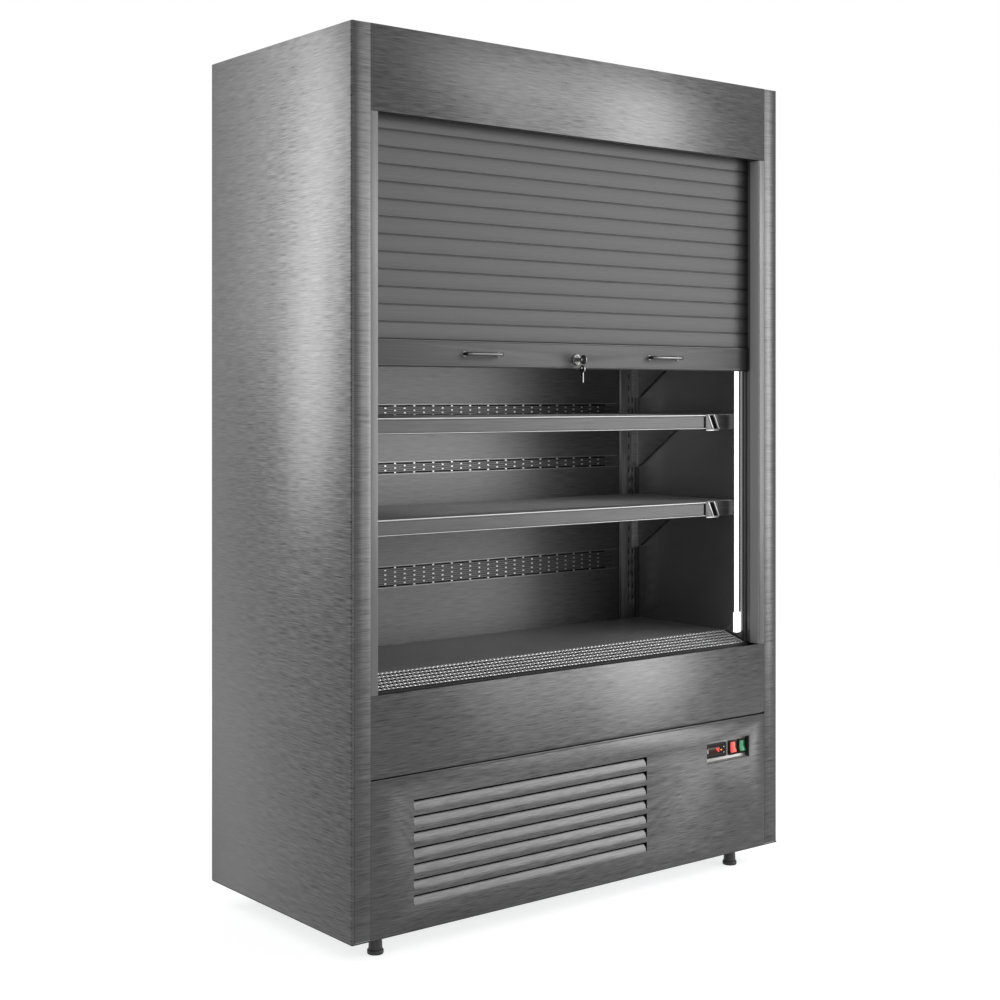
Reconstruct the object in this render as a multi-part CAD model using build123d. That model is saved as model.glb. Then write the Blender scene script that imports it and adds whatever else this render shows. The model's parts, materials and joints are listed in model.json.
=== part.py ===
from build123d import *
import os
from math import asin, atan2, cos, degrees, floor, hypot, pi, radians, sin, tan

# Open multideck display fridge with a roll-down night shutter. Millimetres, +Z up.
# The origin is on the floor under the middle of the cabinet; the front faces -Y, +X is the viewer's right.

# ---------------------------------------------------------------- cabinet
WIDTH = 1300.0
DEPTH = 600.0
HEIGHT = 1980.0
SKIN = 1.2                  # outer stainless sheet
LINER = 1.0                 # inner lining sheet
WALL = 59.0                 # outer side face to inner side face
CORNER_RADIUS = 6.0         # bend of the side panel round the front corner
SEAM = 0.3                  # joint line between neighbouring sheets
POST_WIDTH = 47.0           # outer side face to the edge of the front opening's frame
HEADER_HEIGHT = 183.0       # fascia above the opening
SILL_HEIGHT = 567.0         # top of the lower apron above the floor
APRON_HEIGHT = 183.0
APRON_RADIUS = 14.0         # roll at the apron's lower edge
APRON_HEM = 1.8             # apron's top edge, turned in behind its face
APRON_FLANGE = 13.5         # apron's bottom flange, behind its roll
FASCIA_LIP = 16.5           # fascia's bottom flange, behind its face
KICK_LIP = 12.0
REAR_FOAM = 36.5
ROOF_FOAM = 43.5
TANK_FOAM = 40.0            # insulated floor of the cold tank
TANK_DROP = 127.0           # tank floor below the sill
SILL_LEDGE = 39.0           # depth of the channel behind the apron, which takes the hanging keys
APRON_FOAM = 48.5

# ---------------------------------------------------------------- base and feet
PAN = 2.0                   # base sheet
PAN_FLANGE = 25.0
FOOT_HEIGHT = 55.0          # floor to the underside of the base
FOOT_INSET_X = 104.0
FOOT_INSET_Y = 67.0
FOOT_PAD_RADIUS = 18.0
FOOT_PAD_HEIGHT = 34.0
FOOT_PAD_CHAMFER = 3.0
STUD_RADIUS = 6.0
STUD_REACH = 20.0           # stud above the base sheet
STUD_CLEARANCE = 0.2
NUT_ACROSS_FLATS = 19.0
NUT_HEIGHT = 8.0

# ---------------------------------------------------------------- shutter guides
GUIDE_FACE = 18.0
GUIDE_DEPTH = 60.0
GUIDE_WALL = 2.0
GUIDE_TONGUE = 20.0         # front of the guide's upper run, behind the fascia's face
GUIDE_RISE = 53.0           # guide above the fascia's lower edge
CURTAIN_SETBACK = 41.5      # front of the curtain behind the cabinet's front
SLAT_THICKNESS = 9.0
SLAT_PITCH = 37.5
SLAT_GAP = 0.5
SLAT_WALL = 1.0
SLAT_CROWN = 1.5            # how far the slat's front bulges inside its thickness
SLAT_COUNT = 14
RUN_GAP = 0.5               # curtain to guide, front and back
GUIDE_GROOVE = 10.0         # depth of the guide's slot in X
SLAT_END_GAP = 2.0

# ---------------------------------------------------------------- shutter bottom bar
BAR_DROP = 660.0            # bar's top below the cabinet's top, half drawn
BAR_HEIGHT = 57.5
BAR_PROUD = 5.5             # bar's face in front of the slats
BAR_WALL = 2.0
BAR_SIDE_GAP = 2.0
SEAL_DROP = 2.0
SEAL_INSET = 2.0
HANDLE_CENTRES = 564.0      # left handle to right handle
HANDLE_LENGTH = 96.0        # leg to leg
HANDLE_REACH = 19.0         # grip's axis in front of the bar
HANDLE_ROD = 4.0            # radius
HANDLE_BEND = 7.0
HANDLE_FLANGE = 6.5
HANDLE_FLANGE_THICKNESS = 1.5
HANDLE_DROP = 29.5          # grip below the bar's top

# ---------------------------------------------------------------- lock and keys
LOCK_DROP = 38.0            # lock's axis below the bar's top
LOCK_ROSETTE_RADIUS = 13.5
LOCK_ROSETTE = 4.0
LOCK_BARREL_RADIUS = 9.0
LOCK_HOLE_GAP = 0.2
LOCK_NUT = 2.0
LOCK_NUT_RADIUS = 12.0
PLUG_RADIUS = 6.0
PLUG_PROUD = 0.5
RUNNING_GAP = 0.05          # radial, shaft in bore
CAM_THICKNESS = 2.0
CAM_LENGTH = 20.0
CAM_HALF_WIDTH = 6.0
KEY_THICKNESS = 2.4
KEY_SHANK_LENGTH = 9.5
KEY_SHANK_HEIGHT = 7.0
KEY_BOW_RADIUS = 11.0
KEY_HOLE_RADIUS = 3.0
RING_SETBACK = 4.0          # ring's hole behind the middle of the key's bow
RING_RADIUS = 8.0
RING_WIRE = 0.8
RING_PLAY = 0.3
SPARE_BOW_RADIUS = 9.0
SPARE_HOLE_RADIUS = 2.5
SPARE_BLADE_LENGTH = 26.0
SPARE_BLADE_WIDTH = 6.0

# ---------------------------------------------------------------- shutter barrel
BARREL_SETBACK = 108.0      # barrel's axis behind the cabinet's front
BARREL_DROP = 93.0          # barrel's axis below the cabinet's top
TUBE_RADIUS = 30.0
TUBE_WALL = 2.0
SHAFT_RADIUS = 10.0
BUSH_WIDTH = 12.0
COIL_SLATS = 20             # slats wound on the barrel
COIL_SKIN = 2.0
COIL_START = 0.05           # wound curtain's first turn outside the tube
BRACKET_PLATE = 4.0
BARREL_END_GAP = 3.0
COIL_END_GAP = 5.0
SPRING_RADIUS = 16.0
SPRING_LENGTH = 420.0
TROUGH_RISE = 25.0          # barrel housing's floor above the ceiling
HOUSING_DEPTH = 209.5       # back of the barrel housing behind the cabinet's front
HOUSING_SHEET = 1.5
CURTAIN_CLEARANCE = 11.0    # curtain's back to the housing and the ceiling

# ---------------------------------------------------------------- display space
DUCT_FACE = 453.0           # rear perforated panel behind the cabinet's front
PANEL_SHEET = 1.2
DECK_RISE = 22.0            # display deck above the apron's top
DECK_FLANGE = 18.0
GRILLE_SETBACK = 40.0
GRILLE_DEPTH = 85.0
GRILLE_DROP = 4.0           # grille's front edge below the sill
GRILLE_ROWS = 4
GRILLE_SLOT = (84.0, 9.0)
GRILLE_SLOTS_PER_ROW = 12
UPRIGHT_WIDTH = 74.0
UPRIGHT_SHEET = 2.0
UPRIGHT_SLOT = (4.0, 14.0)
UPRIGHT_PITCH = 32.0
UPRIGHT_COLUMN_INSET = 25.0  # outer column of slots from the side lining
UPRIGHT_COLUMN_STEP = 13.0
UPRIGHT_FIRST_SLOT = 54.0    # above the deck
SHELF_TOPS = (930.0, 1151.0, 1342.0, 1534.0)
SHELF_SHEET = 1.2
SHELF_SIDE_GAP = 9.0
SHELF_FRONT = 82.0          # shelf's front behind the cabinet's front
SHELF_BACK_GAP = 5.0
SHELF_LIP = 38.0
SHELF_RETURN = 10.0
RAIL_PROUD = 8.0
RAIL_PLATE = 2.0
RAIL_BEAD = 5.5
RAIL_LAMP_GAP = 3.0         # left end of the ticket rail from the lamp
RAIL_SHORT = 182.0          # right end of the ticket rail from the cabinet's outer side
CLIP_WIDTH = 64.0
CLIP_PROUD = 11.0
CLIP_DROP = 4.0
CLIP_SLOT = 6.0
CLIP_SLANT = 42.7           # width in which the slot rises by the lip's height
BRACKET_SHEET = 2.0
BRACKET_GAP = 5.0           # bracket's plate from the side lining
BRACKET_DROP = 149.0
BRACKET_ARM = 20.0
BRACKET_FLANGE = 18.0
BRACKET_RISE = 35.0         # degrees
BRACKET_FRONT_GAP = 23.0
HOOK_REACH = 6.0
HOOK_HEIGHT = 10.0

AIR_BAND_HEIGHTS = (733.0, 1010.0, 1151.0)  # lowest row of each band of slots in the rear panel
AIR_BAND_ROWS = (9, 5, 5)
AIR_ROW_PITCH = 5.5
AIR_SLOT = (104.0, 2.5)
AIR_SLOT_PITCH = 113.0

# ---------------------------------------------------------------- lamps
LAMP_SETBACK = 72.0
LAMP_INSET = 14.0           # lamp's axis from the side lining
LAMP_RADIUS = 5.5
SOCKET_SIZE = 12.0
SOCKET_HEIGHT = 51.0
SOCKET_FOOT_GAP = 1.0       # lower socket above the rear of the grille, taken at the deck
SOCKET_TAB = 3.0

# ---------------------------------------------------------------- top air outlet
COMB_SETBACK = 74.0
COMB_DEPTH = 56.0
COMB_HEIGHT = 14.0
COMB_SIDE_GAP = 31.0
COMB_RIM = 6.0
COMB_CELLS = 28
COMB_WEB = 3.0

# ---------------------------------------------------------------- kick panel
LOUVRE_COUNT = 7
LOUVRE_PITCH = 34.0
LOUVRE_HEIGHT = 22.0
LOUVRE_LENGTH = 684.0
LOUVRE_LEFT = 158.0         # first louvre's end from the cabinet's left side
LOUVRE_BASE = 52.5          # lowest louvre above the base
LOUVRE_LEAN = 9.0           # top of each blade behind the face
CONTROL_WIDTH = 151.5
CONTROL_HEIGHT = 51.5
CONTROL_RIGHT = 102.5       # recess from the cabinet's right side
CONTROL_BASE = 233.0        # recess above the base
CONTROL_DEPTH = 14.0
CONTROL_SHEET = 1.2

# ---------------------------------------------------------------- controls
THERMOSTAT_BEZEL = (77.0, 35.0)
THERMOSTAT_BODY = (71.0, 29.0)
THERMOSTAT_DEPTH = 59.5
BEZEL_THICKNESS = 4.0
THERMOSTAT_INSET = 3.0
CUT_GAP = 0.2
DISPLAY_SIZE = (44.0, 17.0)
DISPLAY_DEPTH = 1.0
BUTTON_SIZE = 8.0
BUTTON_GAP = 0.3
BUTTON_POCKET = 3.0
BUTTON_PROUD = 0.8
BUTTON_SPREAD = 14.0
BUTTON_INSET = 10.0
ROCKER_BEZEL = (27.0, 35.0)
ROCKER_BODY = (24.0, 31.0)
ROCKER_PITCH = 32.5
ROCKER_RIGHT = 2.0          # right bezel from the recess's side
ROCKER_BEZEL_THICKNESS = 6.0
ROCKER_BODY_DEPTH = 26.0
ROCKER_POCKET = (20.6, 28.6)
ROCKER_POCKET_DEPTH = 22.0
ROCKER_WIDTH = 20.0
ROCKER_HALF = 13.0
ROCKER_TILT = 10.0
ROCKER_PIVOT = 6.0          # pivot behind the bezel's face
ROCKER_WAIST = 4.0
PIVOT_PIN = 1.5
PIVOT_BOSS = 1.5            # depth of the bore each pivot pin enters

# ---------------------------------------------------------------- cooling machine
COIL_HALF = 420.0
COIL_SETBACK = 240.0        # evaporator behind the cabinet's front
EVAPORATOR = (180.0, 100.0)  # depth, height
FIN_THICKNESS = 2.0
EVAPORATOR_FINS = 22
EVAPORATOR_TUBES = (4, 2)   # rows, levels
EVAPORATOR_TUBE_RADIUS = 5.0
EVAPORATOR_TUBE_STUB = 12.0
FAN_PLATE_SETBACK = 170.0
FAN_SPREAD = 440.0          # between the two evaporator fans
FAN_HOLE = 61.0
FAN_AXIS_RISE = 72.0        # above the tank floor
FAN_BLADE_RADIUS = 56.0
FAN_HUB = 18.0
FAN_SHAFT = 3.0
FAN_MOTOR_RADIUS = 25.0
FAN_MOTOR_LENGTH = 34.0
FAN_STANDOFF = 28.5
FAN_STRAP = (150.0, 16.0, 3.0)
CONDENSER_LEFT = 168.0
CONDENSER = (354.0, 47.0, 293.0)
CONDENSER_SETBACK = 38.0
CONDENSER_FINS = 18
CONDENSER_TUBES = (2, 6)
CONDENSER_TUBE_RADIUS = 4.0
SHROUD_DEPTH = 26.0
FAN_BLADES = 5
BLADE_ANGLE = 35.0
BLADE_ROOT = 0.8            # where a blade starts, as a share of the hub's radius
BLADE_CHORD = 1.3           # blade's width, as a share of the hub's depth
EVAPORATOR_BLADE = 1.2      # blade thickness
CONDENSER_BLADE = 2.0
CONDENSER_HOLE = 118.0
CONDENSER_BLADE_RADIUS = 110.0
CONDENSER_HUB = 30.0
CONDENSER_SHAFT = 5.0
CONDENSER_MOTOR = (42.0, 50.0)
CONDENSER_STANDOFF = 35.0
CONDENSER_STRAP = (24.0, 260.0, 3.0)
COMPRESSOR_RIGHT = 320.0    # compressor's axis from the cabinet's right side
COMPRESSOR_REAR = 240.0     # and from its back
COMPRESSOR_RADIUS = 80.0
COMPRESSOR_DOME = 28.0      # fillet of the shell's ends
COMPRESSOR_SHELL = 190.0
COMPRESSOR_WALL = 14.0      # shell with the motor's iron spread over it
COMPRESSOR_FOOT = 12.0      # radius and height of each rubber foot
COMPRESSOR_BASE = (210.0, 150.0, 3.0)
TRAY = (260.0, 190.0, 43.0)  # width, depth, height
TRAY_WALL = 2.0
TRAY_GAP = 25.0             # from the compressor's base
TRAY_REAR = 50.0            # from the cabinet's back
ELECTRICAL = (150.0, 150.0, 173.0)
ELECTRICAL_RIGHT = 60.0
ELECTRICAL_WALL = 3.0
GLAND_RADIUS = 11.0
GLAND_HEIGHT = 150.0
GLAND_GAP = 0.3
PIPE_RADIUS = 4.0
SUCTION_RADIUS = 6.0
PIPE_BEND = 25.0
DISCHARGE_GAP = 48.0        # condenser to the discharge line
LIQUID_GAP = 128.0          # condenser to the liquid line
DRIER_RADIUS = 14.0
DRIER_LENGTH = 100.0
VENT_SLOT = (380.0, 9.0)
VENT_ROWS = 9
VENT_PITCH = 26.0
VENT_BASE = 50.0
VENT_RIB = 36.0             # solid strip between the two columns of vents

# ---------------------------------------------------------------- derived planes
FRONT = -DEPTH / 2
REAR = DEPTH / 2
SIDE = WIDTH / 2
BASE = FOOT_HEIGHT
FLOOR = BASE + PAN                       # top of the base sheet
ROOF = HEIGHT - SKIN                     # underside of the roof sheet
INNER = SIDE - WALL                      # inner face of the side lining
LINED = INNER + LINER
POST_IN = SIDE - POST_WIDTH
GUIDE_IN = POST_IN - GUIDE_FACE
GUIDE_BACK = FRONT + GUIDE_DEPTH
HEADER_Z = HEIGHT - HEADER_HEIGHT        # fascia's lower edge, and the ceiling
APRON_BOTTOM = SILL_HEIGHT - APRON_HEIGHT
KICK_TOP = APRON_BOTTOM - SLAT_GAP
TANK_Z = SILL_HEIGHT - TANK_DROP         # tank floor's top
LEDGE_Z = SILL_HEIGHT - SILL_LEDGE
DECK_Z = SILL_HEIGHT + DECK_RISE
FOAM_FACE = REAR - SKIN - REAR_FOAM      # front of the rear insulation
DUCT_Y = FRONT + DUCT_FACE
UPRIGHT_Y = DUCT_Y - UPRIGHT_SHEET
UPRIGHT_IN = INNER - UPRIGHT_WIDTH
SLAT_FRONT = FRONT + CURTAIN_SETBACK
SLAT_BACK = SLAT_FRONT + SLAT_THICKNESS
SLAT_END = GUIDE_IN + GUIDE_GROOVE - SLAT_END_GAP
BAR_FACE = SLAT_FRONT - BAR_PROUD
BAR_TOP = HEIGHT - BAR_DROP
BAR_BOTTOM = BAR_TOP - BAR_HEIGHT
BAR_HALF = GUIDE_IN - BAR_SIDE_GAP
LOCK_Z = BAR_TOP - LOCK_DROP
HANDLE_Z = BAR_TOP - HANDLE_DROP
CEILING_FRONT = SLAT_BACK + CURTAIN_CLEARANCE
HOUSING_BACK = FRONT + HOUSING_DEPTH
BARREL_Y = FRONT + BARREL_SETBACK
BARREL_Z = HEIGHT - BARREL_DROP
GRILLE_FRONT = FRONT + GRILLE_SETBACK
GRILLE_BACK = GRILLE_FRONT + GRILLE_DEPTH
GRILLE_Z = SILL_HEIGHT - GRILLE_DROP
SHELF_Y = FRONT + SHELF_FRONT
SHELF_BACK = DUCT_Y - SHELF_BACK_GAP
SHELF_HALF = INNER - SHELF_SIDE_GAP
LAMP_X = INNER - LAMP_INSET
LAMP_Y = FRONT + LAMP_SETBACK
CONTROL_X = (SIDE - CONTROL_RIGHT - CONTROL_WIDTH, SIDE - CONTROL_RIGHT)
CONTROL_Z = (BASE + CONTROL_BASE, BASE + CONTROL_BASE + CONTROL_HEIGHT)
CONTROL_MID = sum(CONTROL_Z) / 2
CONTROL_BACK = FRONT + CONTROL_DEPTH + SKIN
PAIR = (-1, 1)


# ---------------------------------------------------------------- helpers
def block(x, y, z):
    """A box between the low and high ends of three spans."""
    size = [high - low for low, high in (x, y, z)]
    middle = [(high + low) / 2 for low, high in (x, y, z)]
    return Pos(*middle) * Box(*size)


def around(middle, size):
    """The span of a length centred on a value."""
    return (middle - size / 2, middle + size / 2)


def rod_y(x, z, radius, y):
    """A cylinder along Y between two ends."""
    return Pos(x, sum(y) / 2, z) * Rot(90, 0, 0) * Cylinder(radius, y[1] - y[0])


def rod_x(y, z, radius, x):
    """A cylinder along X between two ends."""
    return Pos(sum(x) / 2, y, z) * Rot(0, 90, 0) * Cylinder(radius, x[1] - x[0])


def rod_z(x, y, radius, z):
    """A cylinder along Z between two ends."""
    return Pos(x, y, sum(z) / 2) * Cylinder(radius, z[1] - z[0])


def prism_x(outline, x):
    """A closed (y, z) outline extruded between two values of X."""
    face = Face(Wire.make_polygon([Vector(x[0], y, z) for y, z in outline], close=True))
    return Part(Solid.extrude(face, Vector(x[1] - x[0], 0, 0)).wrapped)


def sheet_xz(x, z, y, slots):
    """An upright sheet between two values of Y, with (width, height, places) groups of slots."""
    face = Pos(sum(x) / 2, sum(z) / 2) * Rectangle(x[1] - x[0], z[1] - z[0])
    for width, height, places in slots:
        face -= [place * Rectangle(width, height) for place in places]
    return Pos(0, y[1], 0) * extrude(Plane.XZ * face, amount=y[1] - y[0])


def mirrored(shape):
    return mirror(shape, about=Plane.YZ)


def both_sides(shape):
    """The right-hand piece and its left-hand twin as separate solids."""
    return Compound(children=[shape, mirrored(shape)])


def grouped(shapes):
    return Compound(children=list(shapes))


def swept_rod(points, bend, radius):
    """A round rod or tube along straight runs joined by tangent arcs."""
    path = FilletPolyline(*points, radius=bend)
    return sweep(Plane(origin=path @ 0, z_dir=path % 0) * Circle(radius), path=path)


# ---------------------------------------------------------------- base
def cornered_plate(half, edge, z):
    """A level plate whose front corners are rounded to clear the bends of the side panels."""
    plate = block((-half, half), (-edge, edge), z)
    corners = plate.edges().filter_by(Axis.Z).group_by(Axis.Y)[0]
    return fillet(corners, CORNER_RADIUS - SKIN)


def base_pan():
    half = SIDE - SKIN - SEAM
    edge = REAR - SKIN - SEAM
    flange_half = INNER - SEAM
    pan = cornered_plate(half, edge, (BASE, FLOOR))
    for y in PAIR:
        low, high = sorted((y * edge, y * (edge - PAN)))
        pan += block((-flange_half, flange_half), (low, high), (FLOOR, FLOOR + PAN_FLANGE))
    for x, y in foot_places():
        pan -= rod_z(x, y, STUD_RADIUS + STUD_CLEARANCE, (BASE, FLOOR))
    return pan


def foot_places():
    return [(x * (SIDE - FOOT_INSET_X), y * (REAR - FOOT_INSET_Y)) for x in PAIR for y in PAIR]


def nut(x, y, z):
    hexagon = RegularPolygon(NUT_ACROSS_FLATS / 2, 6, major_radius=False)
    return Pos(x, y, z) * extrude(hexagon, amount=NUT_HEIGHT)


def foot(x, y):
    """Moulded pad under a stud that carries a nut on each side of the base sheet."""
    pad = chamfer(Cylinder(FOOT_PAD_RADIUS, FOOT_PAD_HEIGHT).edges(), FOOT_PAD_CHAMFER)
    stud = rod_z(x, y, STUD_RADIUS, (FOOT_PAD_HEIGHT, FLOOR + STUD_REACH))
    return [Pos(x, y, FOOT_PAD_HEIGHT / 2) * pad, stud + nut(x, y, BASE - NUT_HEIGHT) + nut(x, y, FLOOR)]


def levelling_feet():
    return grouped(piece for place in foot_places() for piece in foot(*place))


# ---------------------------------------------------------------- shell
def side_panel():
    """Flat side sheet whose front edge bends round the corner."""
    z = (BASE, HEIGHT)
    bend_x, bend_y = SIDE - CORNER_RADIUS, FRONT + CORNER_RADIUS
    sheet = block((SIDE - SKIN, SIDE), (bend_y, REAR), z)
    bend = rod_z(bend_x, bend_y, CORNER_RADIUS, z) - rod_z(bend_x, bend_y, CORNER_RADIUS - SKIN, z)
    return sheet + (bend & block((bend_x, SIDE), (FRONT, bend_y), z))


def front_posts():
    """Hollow posts that frame the opening beside the guides."""
    x = (POST_IN, SIDE - CORNER_RADIUS - SEAM)
    y = (FRONT, GUIDE_BACK)
    z = (FLOOR, ROOF)
    bore = block((x[0] + SKIN, x[1] - SKIN), (y[0] + SKIN, y[1] - SKIN), z)
    return both_sides(block(x, y, z) - bore)


def side_liners():
    return both_sides(block((INNER, LINED), (GUIDE_BACK, FOAM_FACE), (TANK_Z, ROOF)))


def insulation_panels():
    """Foam slabs: two sides, rear, roof, tank floor and the wall behind the apron."""
    rear_face = REAR - SKIN
    wall_back = FRONT + SKIN + APRON_FOAM
    side = block((LINED, SIDE - SKIN), (GUIDE_BACK, rear_face), (FLOOR, ROOF))
    rear = block((-LINED, LINED), (FOAM_FACE, rear_face), (TANK_Z - TANK_FOAM, ROOF))
    roof = block((-INNER, INNER), (HOUSING_BACK, FOAM_FACE), (ROOF - ROOF_FOAM, ROOF))
    tank = block((-LINED, LINED), (wall_back, FOAM_FACE), (TANK_Z - TANK_FOAM, TANK_Z))
    apron = block((-LINED, LINED), (FRONT + SKIN, wall_back), (TANK_Z - TANK_FOAM, LEDGE_Z))
    return grouped([side, mirrored(side), rear, roof, tank, apron])


def back_panel():
    half = SIDE - SKIN
    middle = BASE + VENT_BASE + VENT_PITCH * (VENT_ROWS - 1) / 2
    vents = Pos(0, middle) * GridLocations(VENT_SLOT[0] + VENT_RIB, VENT_PITCH, 2, VENT_ROWS)
    panel = sheet_xz((-half, half), (BASE, HEIGHT), (REAR - SKIN, REAR), [(*VENT_SLOT, vents)])
    return panel - rod_y(gland_x(), GLAND_HEIGHT, GLAND_RADIUS + GLAND_GAP, (REAR - SKIN, REAR))


def roof_panel():
    return cornered_plate(SIDE - SKIN, REAR - SKIN, (ROOF, HEIGHT))


def header_fascia():
    x = (-POST_IN + SEAM, POST_IN - SEAM)
    lip = block(x, (FRONT + SKIN, FRONT + SKIN + FASCIA_LIP), (HEADER_Z, HEADER_Z + SKIN))
    return block(x, (FRONT, FRONT + SKIN), (HEADER_Z, HEIGHT)) + lip


def apron_panel():
    """Lower apron: flat face, top hem, and a lower edge rolled inwards to a flange."""
    x = (-POST_IN + SEAM, POST_IN - SEAM)
    roll_y, roll_z = FRONT + APRON_RADIUS, APRON_BOTTOM + APRON_RADIUS
    face = block(x, (FRONT, FRONT + SKIN), (roll_z, SILL_HEIGHT))
    hem = block(x, (FRONT + SKIN, FRONT + SKIN + APRON_HEM), (SILL_HEIGHT - SKIN, SILL_HEIGHT))
    roll = rod_x(roll_y, roll_z, APRON_RADIUS, x) - rod_x(roll_y, roll_z, APRON_RADIUS - SKIN, x)
    roll &= block(x, (FRONT, roll_y), (APRON_BOTTOM, roll_z))
    flange = block(x, (roll_y, roll_y + APRON_FLANGE), (APRON_BOTTOM, APRON_BOTTOM + SKIN))
    return face + hem + roll + flange


def louvre_places():
    low = BASE + LOUVRE_BASE
    return [low + LOUVRE_PITCH * index for index in range(LOUVRE_COUNT)]


def kick_panel():
    """Machine cover with blades pressed inwards from their lower edge, and the control window."""
    half = POST_IN - SEAM
    start = -SIDE + LOUVRE_LEFT
    span = (start, start + LOUVRE_LENGTH)
    inner = FRONT + SKIN
    windows = [
        Pos(sum(span) / 2, low + LOUVRE_HEIGHT / 2) for low in louvre_places()
    ]
    control = [Pos(sum(CONTROL_X) / 2, CONTROL_MID)]
    slots = [(LOUVRE_LENGTH, LOUVRE_HEIGHT, windows), (CONTROL_WIDTH, CONTROL_HEIGHT, control)]
    panel = sheet_xz((-half, half), (BASE, KICK_TOP), (FRONT, inner), slots)
    panel += block((-half, half), (inner, inner + KICK_LIP), (KICK_TOP - SKIN, KICK_TOP))
    for low in louvre_places():
        high = low + LOUVRE_HEIGHT - SKIN
        blade = [
            (FRONT, low - SKIN), (FRONT, low), (FRONT + LOUVRE_LEAN, high),
            (inner + LOUVRE_LEAN, high), (inner, low - SKIN),
        ]
        panel += prism_x(blade, span)
    return panel


# ---------------------------------------------------------------- header
def barrel_housing():
    """Angle sheet that parts the shutter barrel from the cold air duct."""
    x = (-INNER + SEAM, INNER - SEAM)
    floor_z = HEADER_Z + TROUGH_RISE
    floor_sheet = block(x, (CEILING_FRONT, HOUSING_BACK), (floor_z, floor_z + HOUSING_SHEET))
    wall = block(x, (HOUSING_BACK - HOUSING_SHEET, HOUSING_BACK), (floor_z, ROOF))
    return floor_sheet + wall


def comb_spans():
    half = INNER - COMB_SIDE_GAP
    return (-half, half), (FRONT + COMB_SETBACK, FRONT + COMB_SETBACK + COMB_DEPTH)


def ceiling_panel():
    x = (-INNER + SEAM, INNER - SEAM)
    z = (HEADER_Z, HEADER_Z + SHELF_SHEET)
    return block(x, (CEILING_FRONT, DUCT_Y + PANEL_SHEET), z) - block(*comb_spans(), z)


def air_honeycomb():
    """Outlet comb that drops into the ceiling and hangs on its rim."""
    (left, right), (near, far) = comb_spans()
    rim_z = HEADER_Z + SHELF_SHEET
    body_x = (left + SEAM, right - SEAM)
    body_y = (near + SEAM, far - SEAM)
    comb = block(body_x, body_y, around(HEADER_Z, COMB_HEIGHT))
    comb += block(
        (left - COMB_RIM, right + COMB_RIM), (near - COMB_RIM, far + COMB_RIM), (rim_z, rim_z + PANEL_SHEET)
    )
    pitch = (body_x[1] - body_x[0] - COMB_WEB) / COMB_CELLS
    row = (body_y[1] - body_y[0] - COMB_WEB) / 2
    cell = Rectangle(pitch - COMB_WEB, row - COMB_WEB)
    cells = Sketch() + [
        Pos(0, (near + far) / 2) * place * cell for place in GridLocations(pitch, row, COMB_CELLS, 2)
    ]
    return comb - Pos(0, 0, HEADER_Z - COMB_HEIGHT) * extrude(cells, amount=2 * COMB_HEIGHT)


# ---------------------------------------------------------------- display space
def rear_duct_panel():
    """Rear air panel with bands of staggered slots."""
    half = UPRIGHT_IN - SEAM
    stagger = AIR_SLOT_PITCH / 4
    columns = floor(2 * (half - stagger) / AIR_SLOT_PITCH)
    slots = []
    for band_z, rows in zip(AIR_BAND_HEIGHTS, AIR_BAND_ROWS):
        for row in range(rows):
            shift = stagger if row % 2 else -stagger
            places = Pos(shift, band_z + row * AIR_ROW_PITCH) * GridLocations(
                AIR_SLOT_PITCH, AIR_ROW_PITCH, columns, 1
            )
            slots.append((*AIR_SLOT, places))
    z = (DECK_Z - DECK_FLANGE, HEADER_Z)
    return sheet_xz((-half, half), z, (DUCT_Y, DUCT_Y + PANEL_SHEET), slots)


def upright_slot_heights():
    """Heights of the slot centres from the deck up to the ceiling."""
    first = DECK_Z + UPRIGHT_FIRST_SLOT
    count = floor((HEADER_Z - UPRIGHT_PITCH - first) / UPRIGHT_PITCH) + 1
    return [first + UPRIGHT_PITCH * index for index in range(count)]


def upright_columns():
    outer = INNER - UPRIGHT_COLUMN_INSET
    return outer - UPRIGHT_COLUMN_STEP, outer


def shelf_uprights():
    """Corner profiles: a slotted face beside the rear panel and a web back to the insulation."""
    z = (DECK_Z - DECK_FLANGE, HEADER_Z - SEAM)
    places = [Pos(x, height) for x in upright_columns() for height in upright_slot_heights()]
    face = sheet_xz((UPRIGHT_IN, INNER - SEAM), z, (UPRIGHT_Y, DUCT_Y), [(*UPRIGHT_SLOT, places)])
    web = block((UPRIGHT_IN, UPRIGHT_IN + PANEL_SHEET), (DUCT_Y, FOAM_FACE), z)
    return both_sides(face + web)


def base_deck():
    half = INNER - SEAM
    y = (GRILLE_BACK + SEAM, UPRIGHT_Y - SEAM)
    under = (DECK_Z - DECK_FLANGE, DECK_Z - PANEL_SHEET)
    deck = block((-half, half), y, (DECK_Z - PANEL_SHEET, DECK_Z))
    deck += block((-half, half), (y[0], y[0] + PANEL_SHEET), under)
    side = block((half - PANEL_SHEET, half), y, under)
    return deck + side + mirrored(side)


def air_grille():
    """Sloped return-air grille in front of the deck, standing on the apron's insulation."""
    half = GUIDE_IN - SEAM
    sheet = PANEL_SHEET
    outline = [
        (GRILLE_FRONT, LEDGE_Z), (GRILLE_FRONT, GRILLE_Z), (GRILLE_BACK, DECK_Z),
        (GRILLE_BACK, DECK_Z - sheet), (GRILLE_FRONT + sheet, GRILLE_Z - sheet),
        (GRILLE_FRONT + sheet, LEDGE_Z),
    ]
    grille = prism_x(outline, (-half, half))
    pitch = 2 * half / GRILLE_SLOTS_PER_ROW
    row = GRILLE_DEPTH / (GRILLE_ROWS + 1)
    slot = Rectangle(*GRILLE_SLOT)
    places = GridLocations(pitch, row, GRILLE_SLOTS_PER_ROW, GRILLE_ROWS)
    slots = Sketch() + [Pos(0, (GRILLE_FRONT + GRILLE_BACK) / 2) * place * slot for place in places]
    return grille - Pos(0, 0, LEDGE_Z) * extrude(slots, amount=DECK_Z - LEDGE_Z + sheet)


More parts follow.
